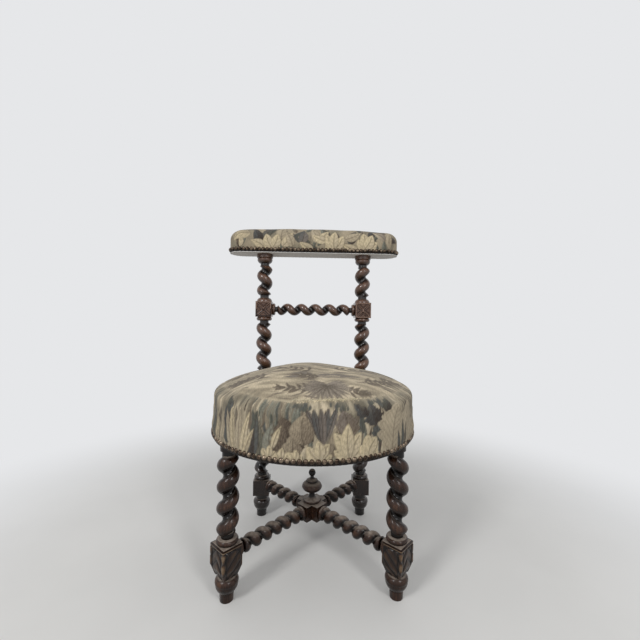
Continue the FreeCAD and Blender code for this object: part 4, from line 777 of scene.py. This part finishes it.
round_top = spots[~on_band, :2] * 1000
top = start_canvas(round_top, 0, SAND, KHAKI, 46, 15)
brushed = np.clip(0.5 * mottle(round_top * (0.22, 1), 9, 17), -0.3, 0.3)[:, None]
top["colour"] = top["colour"] * (1 + brushed)
for _ in range(120):
    reach, way = 205 * draw.uniform(0, 1) ** 0.5, draw.uniform(0, tau)
    spot = (reach * cos(way), reach * sin(way))
    pale, deep = ((ASH, STONE), (KHAKI, OLIVE), (SAND, KHAKI), (STONE, BARK))[draw.randint(4)]
    leaf(top, spot, 90 + draw.uniform(-28, 28) + 180 * draw.randint(2), draw.uniform(26, 58),
         draw.uniform(5, 10), pale, deep, line=0.42)
for spot, heading, length in (((-6, -66), -62, 84), ((-100, -86), -74, 64), ((98, -112), 64, 66),
                              ((40, -30), 76, 90), ((-60, 30), -80, 90), ((60, 80), 60, 80),
                              ((-90, 110), -40, 70), ((20, 130), 20, 60), ((130, 20), 100, 60),
                              ((-150, 10), 250, 56), ((-140, -96), -60, 44), ((140, -70), 70, 50)):
    spray(top, spot, heading, length, 6, 27, 9, BARK, UMBER)
for _ in range(110):
    reach, way = 208 * draw.uniform(0, 1) ** 0.5, draw.uniform(0, tau)
    leaf(top, (reach * cos(way), reach * sin(way)), 90 + draw.uniform(-24, 24) + 180 * draw.randint(2),
         draw.uniform(14, 40), draw.uniform(3, 5), STONE, BARK, line=0.7)
for spot, heading in (((6, -92), 84), ((30, -86), 96), ((-20, -96), 262), ((52, -98), 78),
                      ((-4, -82), 272)):
    leaf(top, spot, heading, 46, 13, DUSK, STONE, line=0.4)
for spot, heading, length in (((-12, -160), -78, 62), ((62, -166), 84, 36), ((10, -108), -70, 50)):
    spray(top, spot, heading, length, 6, 24, 8, BARK, UMBER)
fan(top, (22, -146), 180, 268, 27, 62, 10, ASH, STONE)
fan(top, (24, -150), 176, 220, 11, 46, 5, STONE, UMBER)
top["colour"] = top["colour"] * 0.84 + SAND * 0.16

# hatching runs over the rim from the band to the top and darkens it there, partly as painted shade under
# the rim, and the front of the rim is frayed and rubbed
pattern = np.empty((len(spots), 3))
pattern[on_band] = band["colour"]
pattern[~on_band] = top["colour"]
over_rim = np.column_stack([turned * SEAT_RADIUS, SEAM - strip]) * 1000
hatching_and_shade = np.clip(mottle(over_rim * (1, 0.22), 6, 29) + 0.5 * mottle(over_rim * (1, 0.5), 30, 31), 0, 1)
hatching_and_shade *= 0.75 * np.exp(-((strip - SEAM - 0.004) / 0.02) ** 2)
pattern = pattern * (1 - hatching_and_shade[:, None]) + OLIVE * 0.85 * hatching_and_shade[:, None]
fray = np.exp(-((strip - SEAM) / 0.0024) ** 2) * np.exp(-((turned - 0.1) / 0.26) ** 4)
rubbed = (draw.uniform(0, 1, len(spots)) < 0.75 * fray)[:, None]
pattern = np.where(rubbed, CREAM * 1.12, pattern)
edge_wear = (0.3 * np.exp(-((strip - SEAM) / 0.005) ** 2))[:, None]
pattern = pattern * (1 - edge_wear) + SAND * edge_wear
# painted shade on the cloth under the seat's row of nails
pattern = paint_shade_under_nails(pattern, spots[:, 2], NAIL_HEIGHT)

# the weave runs round the band and straight across the top
quads = corner_order(seat_cover).reshape(-1, 4)
around = turned[quads]
around = np.where((np.ptp(around, axis=1) > pi)[:, None] & (around < 0), around + tau, around)
banded = (strip[quads].mean(axis=1) > SEAM)[:, None]
places = np.dstack([np.where(banded, around * SEAT_RADIUS, spots[quads, 0]),
                    np.where(banded, -strip[quads], spots[quads, 1])])
weave(seat_cover, pattern, places, "wool_tapestry_seat")
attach(seat_cover, "root")
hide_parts("seat_cover", "seat_stuffing")


# Frayed threads. Loose ends of cream wool where the front of the rim has worn through. Each is a few
# millimetres long, bowed up from the cloth, with both its ends still in the weave.
def ring_faces(low, high, count):
    """Faces between two closed rings of points, each ring given by the number of its first point."""
    made = []
    for corner in range(count):
        after = (corner + 1) % count
        made.append((low + corner, low + after, high + after, high + corner))
    return made


THREAD_RADIUS, THREAD_STEPS, THREAD_SIDES = 0.0003, 5, 5
thread_spots, thread_faces = [], []
rim_reach = dome * sin(SEAM / dome)
rim_height = SEAT_CROWN - dome * (1 - cos(SEAM / dome))
for _ in range(70):
    way = draw.uniform(-0.2, 0.4)
    length = draw.uniform(0.003, 0.009)
    slant = draw.uniform(-0.7, 0.7)
    inward = draw.uniform(-0.004, 0.003)
    lift = draw.uniform(0.0012, 0.0026)
    rings = []
    for step in range(THREAD_STEPS + 1):
        share = step / THREAD_STEPS
        turn = way + (share - 0.5) * length * cos(slant) / rim_reach
        reach = rim_reach + inward + (share - 0.5) * length * sin(slant)
        fall = (rim_reach - reach) * rim_reach / dome
        height = rim_height + fall + lift * sin(pi * share) + 0.0008
        middle = Vector((reach * sin(turn), -reach * cos(turn), height))
        rings.append(len(thread_spots))
        for corner in range(THREAD_SIDES):
            spread = tau * corner / THREAD_SIDES
            thread_spots.append(middle + Vector((sin(turn) * cos(spread), -cos(turn) * cos(spread),
                                                 sin(spread))) * THREAD_RADIUS)
    for low, high in zip(rings, rings[1:]):
        thread_faces += ring_faces(low, high, THREAD_SIDES)
    thread_faces.append(tuple(rings[0] + corner for corner in reversed(range(THREAD_SIDES))))
    thread_faces.append(tuple(rings[-1] + corner for corner in range(THREAD_SIDES)))
threads = link_piece("frayed_threads", thread_spots, thread_faces)
threads.data.shade_smooth()
threads.data.materials.append(plain_stuff("cream_wool", "#e0d8bd", "#c9bea0", 0.001, (1, 1, 1), 0.9))
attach(threads, "root")

# Seat nails. Domed nails of stamped and browned bronze, driven edge to edge through the cover's lower edge
# into the ring. Tarnish makes each a little different, dark in places and bright where it is rubbed.
bronze, tree = start_material("antique_bronze")
nail_place = add(tree, "TexCoord", {})["Object"]
nail_tone = add(tree, "TexNoise", {"Vector": nail_place, "Scale": 1 / 0.012, "Detail": 1.0})["Fac"]
tarnish = add(tree, "TexNoise", {"Vector": nail_place, "Scale": 1 / 0.0028, "Detail": 3.0})["Fac"]
both_tones = add(tree, "Math", {"operation": "MULTIPLY_ADD", 0: tarnish, 1: 0.45, 2: nail_tone})[0]
bronze_colour = add(tree, "ValToRGB", {"Fac": both_tones, "stops": [
    (0.5, "#261d16"), (0.7, "#514337"), (0.92, "#8a7b6a")]})[0]
bronze_rough = add(tree, "MapRange", {"Value": tarnish, "From Min": 0.3, "From Max": 0.7, "To Min": 0.22,
                                      "To Max": 0.42})[0]
add(tree, "OutputMaterial", {"Surface": add(tree, "BsdfPrincipled", {
    "Base Color": bronze_colour, "Metallic": 0.85, "Roughness": bronze_rough})[0]})
finish_node("seat_nails", bronze)

# Bottom cloth. A round of black linen strained under the webs to keep the dust in, and tacked to the ring.
# It hangs a little in the middle and ripples between its tacks.
cloth_low, cloth_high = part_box("bottom_cloth")
CLOTH_RADIUS = (cloth_high.x - cloth_low.x) / 2
RINGS, SPOKES = 16, 120
SAG, RIPPLE, CLOTH_TACKS = 0.002, 0.0004, 24
cloth_spots = []
for level in (cloth_high.z, cloth_low.z):
    cloth_spots.append((0, 0, level - SAG))
    for ring in range(1, RINGS + 1):
        for spoke in range(SPOKES):
            way = tau * spoke / SPOKES
            share = ring / RINGS
            reach = CLOTH_RADIUS * share
            drop = SAG * (1 - share ** 2) + RIPPLE * share ** 6 * cos(CLOTH_TACKS * way)
            cloth_spots.append((reach * cos(way), reach * sin(way), level - drop))
cloth_faces = []
per_side = 1 + RINGS * SPOKES
for spoke in range(SPOKES):
    after = (spoke + 1) % SPOKES
    for ring in range(RINGS - 1):
        low, high = 1 + ring * SPOKES, 1 + (ring + 1) * SPOKES
        cloth_faces.append((low + spoke, high + spoke, high + after, low + after))
    cloth_faces.append((0, 1 + spoke, 1 + after))
    cloth_faces += [tuple(per_side + index for index in face[::-1]) for face in cloth_faces[-RINGS:]]
    rim = 1 + (RINGS - 1) * SPOKES
    cloth_faces.append((rim + spoke, per_side + rim + spoke, per_side + rim + after, rim + after))
bottom_cloth = link_piece("bottom_linen", cloth_spots, cloth_faces)
bottom_cloth.data.shade_smooth()
linen = plain_stuff("black_linen", "#3b3836", "#232120", 0.0016, (1, 1, 1), 0.95)
bottom_cloth.data.materials.append(linen)
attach(bottom_cloth, "root")
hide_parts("bottom_cloth")

# Crest board. Sawn beech, cut to a long plan with round ends and glued on the posts' tenons. Cover and
# lining hide it.
finish_node("crest_board", beech)

# Crest cover. The same wool tapestry over a firm pad, drawn down all round, turned under and close-nailed
# to the board's edge.
CREST_HALF, CREST_END, CREST_FOOT, CREST_TOP, CREST_ROUND = 0.2375, 0.037, 0.735, 0.803, 0.027
CREST_NAILS, CREST_NAIL_HEIGHT = 96, 0.743
CREST_TAKE_IN, CREST_CLEAR, CREST_MOST = 0.0015, 0.0004, 0.004
SPINE = CREST_HALF - CREST_END
columns = PITCH * CREST_NAILS
outline = 4 * SPINE + tau * CREST_END
plan = []
for column in range(columns):
    run = outline * column / columns
    if run < SPINE:
        plan.append((run, 0, -1))
    elif run < SPINE + pi * CREST_END:
        bend = (run - SPINE) / CREST_END
        plan.append((SPINE, sin(bend), -cos(bend)))
    elif run < 3 * SPINE + pi * CREST_END:
        plan.append((2 * SPINE + pi * CREST_END - run, 0, 1))
    elif run < 3 * SPINE + tau * CREST_END:
        bend = (run - 3 * SPINE - pi * CREST_END) / CREST_END
        plan.append((-SPINE, -sin(bend), cos(bend)))
    else:
        plan.append((run - outline, 0, -1))
wall_top = CREST_TOP - CREST_ROUND
profile = [(CREST_END - 0.009, CREST_FOOT - CREST_CLEAR), (CREST_END - 0.002, CREST_FOOT - CREST_CLEAR),
           (CREST_END - CREST_CLEAR, CREST_FOOT + 0.0006),
           (CREST_END - CREST_CLEAR, CREST_NAIL_HEIGHT - 0.004),
           (CREST_END - CREST_CLEAR, CREST_NAIL_HEIGHT)]
nail_row = len(profile) - 1
for height in np.linspace(CREST_NAIL_HEIGHT, wall_top, 10)[1:]:
    profile.append((CREST_END - CREST_TAKE_IN, height))
for bend in np.linspace(0, pi / 2, 11)[1:]:
    profile.append((CREST_END - CREST_TAKE_IN - CREST_ROUND * (1 - cos(bend)),
                    wall_top - CREST_TAKE_IN + CREST_ROUND * sin(bend)))
flat_reach, flat_height = profile[-1]
profile += [(flat_reach * share, flat_height) for share in (0.66, 0.33, 0)]
steps = np.diff(np.array(profile), axis=0)
reaches = np.hypot(steps[:, 0], steps[:, 1])
from_spine = np.concatenate([np.cumsum(reaches[::-1])[::-1], [0]])
crest_spots, crest_at, held = [], [], []
for row, (reach, height) in enumerate(profile):
    for column, (foot, x, y) in enumerate(plan):
        if row < nail_row or (row == nail_row and column % PITCH == 0):
            held.append(len(crest_spots))
        crest_spots.append((foot + reach * x, POST[1] + reach * y, height))
        crest_at.append((foot + from_spine[row] * x, from_spine[row] * y, 0))
crest_faces = []
for row in range(len(profile) - 1):
    crest_faces += ring_faces(row * columns, (row + 1) * columns, columns)
crest_cover = link_piece("crest_tapestry", crest_spots, crest_faces)
flat_place = crest_cover.data.attributes.new("laid_out", "FLOAT_VECTOR", "POINT")
flat_place.data.foreach_set("vector", np.array(crest_at, np.float32).ravel())


def close_spine(shell):
    """Join the last row of points, which lie two and two along the spine."""
    last_row = [spot for spot in shell.verts if spot.index >= len(crest_spots) - columns]
    bmesh.ops.remove_doubles(shell, verts=last_row, dist=0.0004)


rework(crest_cover.data, close_spine)
upholster(crest_cover, held, CREST_MOST)
refine(crest_cover)
spots = read(crest_cover.data.vertices, "co", 3)
rise = np.clip((spots[:, 2] - CREST_FOOT) / (CREST_TOP - CREST_FOOT), 0, 1)
end_fall = 0.007 * (abs(spots[:, 0]) / CREST_HALF) ** 4 - 0.0015
lumps = mottle(spots[:, :2] * (1000, 2500), 70, 23)
spots[:, 2] += rise ** 2 * (0.0012 * lumps - end_fall)
waves = 0.0008 * rise * (1 - rise) * mottle(spots[:, ::2] * 1000, 30, 25)
spots[:, 1] += np.sign(spots[:, 1] - POST[1]) * waves
crest_cover.data.vertices.foreach_set("co", spots.ravel())
crest_cover.data.update()

laid = read(crest_cover.data.attributes["laid_out"].data, "vector", 3)[:, :2]
crest_drop = from_spine[2] * 1000
pad = start_canvas(laid * 1000 + (0, crest_drop), 0, KHAKI, OLIVE, 30, 27)
DULL_LEAVES = ((SAGE, MOSS), (OLIVE, BARK), (KHAKI, OLIVE), (STONE, UMBER), (SLATE, MOSS))
for _ in range(130):
    spot = (draw.uniform(-235, 235), draw.uniform(-10, 2 * crest_drop))
    pale, deep = DULL_LEAVES[draw.randint(5)]
    leaf(pad, spot, draw.uniform(-60, 60), draw.uniform(24, 44), draw.uniform(8, 14), pale, deep, line=0.6)
for spot, heading, length, width, pale, deep in (
        ((-150, 22), -20, 46, 28, SLATE, UMBER), ((-136, 34), 30, 42, 24, DUSK, MOSS),
        ((-36, 22), 8, 44, 28, SLATE, STONE), ((100, 24), 20, 42, 26, SLATE, UMBER),
        ((150, 42), 40, 46, 22, SLATE, UMBER), ((204, 30), 60, 50, 18, DUSK, UMBER),
        ((-216, 10), 10, 46, 20, BARK, UMBER), ((40, 44), -30, 42, 22, SAGE, UMBER),
        ((-176, 52), -100, 60, 34, CREAM, KHAKI), ((-206, 12), 4, 36, 20, CREAM, SAND),
        ((-134, 10), -62, 46, 25, CREAM, SAND), ((-92, 34), 14, 48, 30, SAND, KHAKI),
        ((-88, 14), 34, 50, 28, CREAM, SAND), ((-60, 14), -24, 46, 24, SAND, KHAKI),
        ((-4, 8), -62, 42, 23, CREAM, SAND), ((6, 26), -16, 48, 26, SAND, KHAKI),
        ((18, 24), 28, 46, 24, CREAM, KHAKI), ((34, 30), -66, 46, 24, CREAM, SAND),
        ((84, 36), 64, 50, 26, SAND, KHAKI), ((120, 8), -70, 46, 23, CREAM, SAND),
        ((216, 14), -8, 52, 28, SAND, KHAKI), ((196, 36), -50, 46, 22, SAND, STONE)):
    leaf(pad, spot, heading, length, width, pale, deep)
fan(pad, (-116, 8), 0, 130, 4, 44, 28, CREAM, SAND, blunt=0.95)
fan(pad, (54, 6), 4, 110, 5, 54, 26, CREAM, SAND, blunt=0.9)
fan(pad, (134, 6), 30, 110, 5, 56, 30, CREAM, SAND, blunt=0.95)
for spot in range(-200, 220, 52):
    at = (spot + draw.uniform(-10, 10), 2 * crest_drop - draw.uniform(4, 14))
    if draw.randint(2):
        fan(pad, at, 180 + draw.uniform(-14, 14), 120, 5, 52, 21, CREAM, SAND)
    else:
        leaf(pad, at, 180 + draw.uniform(-30, 30), 58, 36, SLATE, UMBER, 3)
# painted shade on the cloth under the crest's row of nails
pattern = paint_shade_under_nails(pad["colour"], spots[:, 2], CREST_NAIL_HEIGHT)
weave(crest_cover, pattern, laid[corner_order(crest_cover)], "wool_tapestry_crest")
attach(crest_cover, "root")
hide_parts("crest_cover", "crest_stuffing")

# Crest nails. The same browned bronze nails, driven edge to edge through the cover into the board's edge,
# in one unbroken row.
finish_node("crest_nails", bronze)

# Crest lining. Pale grey cotton drawn flat over the underside of the board, where it hides the cover's raw
# edges. It ripples a little along its own edge.
lining_low, lining_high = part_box("crest_lining")
lining_reach = (lining_high.y - lining_low.y) / 2
lining_half = (lining_high.x - lining_low.x) / 2 - lining_reach
lining_spots, lining_faces = [], []
LINING_ROWS = 9
for level in (lining_high.z, lining_low.z):
    for row in range(LINING_ROWS):
        share = 1 - row / (LINING_ROWS - 1)
        for foot, x, y in plan:
            foot = foot * lining_half / SPINE
            ripple = 0.00025 * share ** 4 * (1 + cos(600 * (foot + x * 0.05)))
            lining_spots.append((foot + lining_reach * share * x, POST[1] + lining_reach * share * y,
                                 level - ripple))
side_total = LINING_ROWS * columns
for row in range(LINING_ROWS - 1):
    lining_faces += ring_faces(row * columns, (row + 1) * columns, columns)
lining_faces += [tuple(side_total + index for index in face[::-1]) for face in lining_faces]
lining_faces += ring_faces(side_total, 0, columns)
crest_lining = link_piece("crest_cotton", lining_spots, lining_faces)
rework(crest_lining.data,
       lambda shell: bmesh.ops.remove_doubles(shell, verts=shell.verts, dist=0.00005))
crest_lining.data.shade_smooth()
cotton = plain_stuff("grey_cotton", "#f2f1ee", "#dddcd9", 0.0015, (1, 1, 1), 0.95)
crest_lining.data.materials.append(cotton)
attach(crest_lining, "root")
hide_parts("crest_lining")

# Floor. Pale and plain concrete, fading a step away from the chair into a painted backdrop. It throws less
# light back on the chair than its paleness would, so that the undersides stay deep.
FLOOR_SIZE = 14
FADE_START, FADE_END = 0.5, 1.3
WALL_PAINT = "#e6e7e9"


def seen_straight(tree):
    """1 for rays that show the backdrop itself, to the camera or in the polish, 0 for those that light."""
    rays = add(tree, "LightPath", {})
    straight = add(tree, "Math", {"operation": "MAXIMUM", 0: rays["Is Camera Ray"],
                                  1: rays["Is Glossy Ray"]})[0]
    return add(tree, "Math", {"operation": "MAXIMUM", 0: straight, 1: rays["Is Transmission Ray"]})[0]


half_floor = FLOOR_SIZE / 2
floor = link_piece("floor", [(-half_floor, -half_floor, 0), (half_floor, -half_floor, 0),
                             (half_floor, half_floor, 0), (-half_floor, half_floor, 0)], [(0, 1, 2, 3)])
floor_paint, tree = start_material("pale_concrete_floor")
floor_place = add(tree, "TexCoord", {})["Object"]
cloudy = add(tree, "TexNoise", {"Vector": floor_place, "Scale": 2.2, "Detail": 5.0})["Fac"]
pale_floor = add(tree, "ValToRGB", {"Fac": cloudy, "stops": [(0.3, "#dddcd9"), (0.7, "#e6e5e2")]})[0]
floor_colour = add(tree, "Mix", {"data_type": "RGBA", 0: add(tree, "LightPath", {})["Is Diffuse Ray"],
                                 6: pale_floor, 7: linear("#b0adaa") + [1]})[2]
floor_face = add(tree, "BsdfPrincipled", {"Base Color": floor_colour, "Roughness": 0.9,
                                          "Specular IOR Level": 0.2})[0]
painted = add(tree, "Emission", {"Color": linear(WALL_PAINT) + [1], "Strength": 1.0})[0]
away = add(tree, "VectorMath", {"operation": "LENGTH", 0: floor_place})["Value"]
fade = add(tree, "MapRange", {"interpolation_type": "SMOOTHSTEP", "Value": away, "From Min": FADE_START,
                              "From Max": FADE_END})[0]
faded = add(tree, "Math", {"operation": "MULTIPLY", 0: fade, 1: seen_straight(tree)})[0]
add(tree, "OutputMaterial", {"Surface": add(tree, "MixShader", {0: faded, 1: floor_face, 2: painted})[0]})
floor.data.materials.append(floor_paint)

# Daylight. A pale room lights the chair evenly from all sides, and two tall windows behind the camera put
# long soft lights on the polish.
world = bpy.data.worlds.new("pale_room")
bpy.context.scene.world = world
world.use_nodes = True
tree = world.node_tree
tree.nodes.clear()
room = add(tree, "Background", {"Color": linear("#f1f2f4") + [1], "Strength": 0.56})[0]
backdrop = add(tree, "Background", {"Color": linear(WALL_PAINT) + [1], "Strength": 1.0})[0]
shown = add(tree, "MixShader", {0: seen_straight(tree), 1: room, 2: backdrop})[0]
add(tree, "OutputWorld", {"Surface": shown})
WINDOWS = (("window_left", (-1.5, -1.7, 1.9), 26), ("window_right", (1.1, -2.0, 1.8), 18))
WINDOW_WIDTH, WINDOW_HEIGHT = 0.5, 1.0
LIT_SPOT = Vector((0, 0, 0.4))
for name, spot, watts in WINDOWS:
    lamp = bpy.data.lights.new(name, "AREA")
    lamp.shape = "RECTANGLE"
    lamp.size, lamp.size_y = WINDOW_WIDTH, WINDOW_HEIGHT
    lamp.energy = watts
    lamp_object = bpy.data.objects.new(name, lamp)
    lamp_object.location = spot
    lamp_object.rotation_euler = (LIT_SPOT - Vector(spot)).to_track_quat("-Z", "Y").to_euler()
    bpy.context.scene.collection.objects.link(lamp_object)

# Camera. Level and nearly square on to the front, close to the chair and almost as high as the cross rail,
# with a wide lens.
camera = bpy.data.cameras.new("camera")
camera.sensor_width = 36
camera.lens = 19.47
camera_object = bpy.data.objects.new("camera", camera)
camera_object.location = (-0.0154, -0.811, 0.5465)
camera_object.rotation_euler = (radians(90.2), radians(-0.75), radians(-2))
bpy.context.scene.collection.objects.link(camera_object)
bpy.context.scene.camera = camera_object
bpy.context.scene.view_settings.view_transform = "Standard"
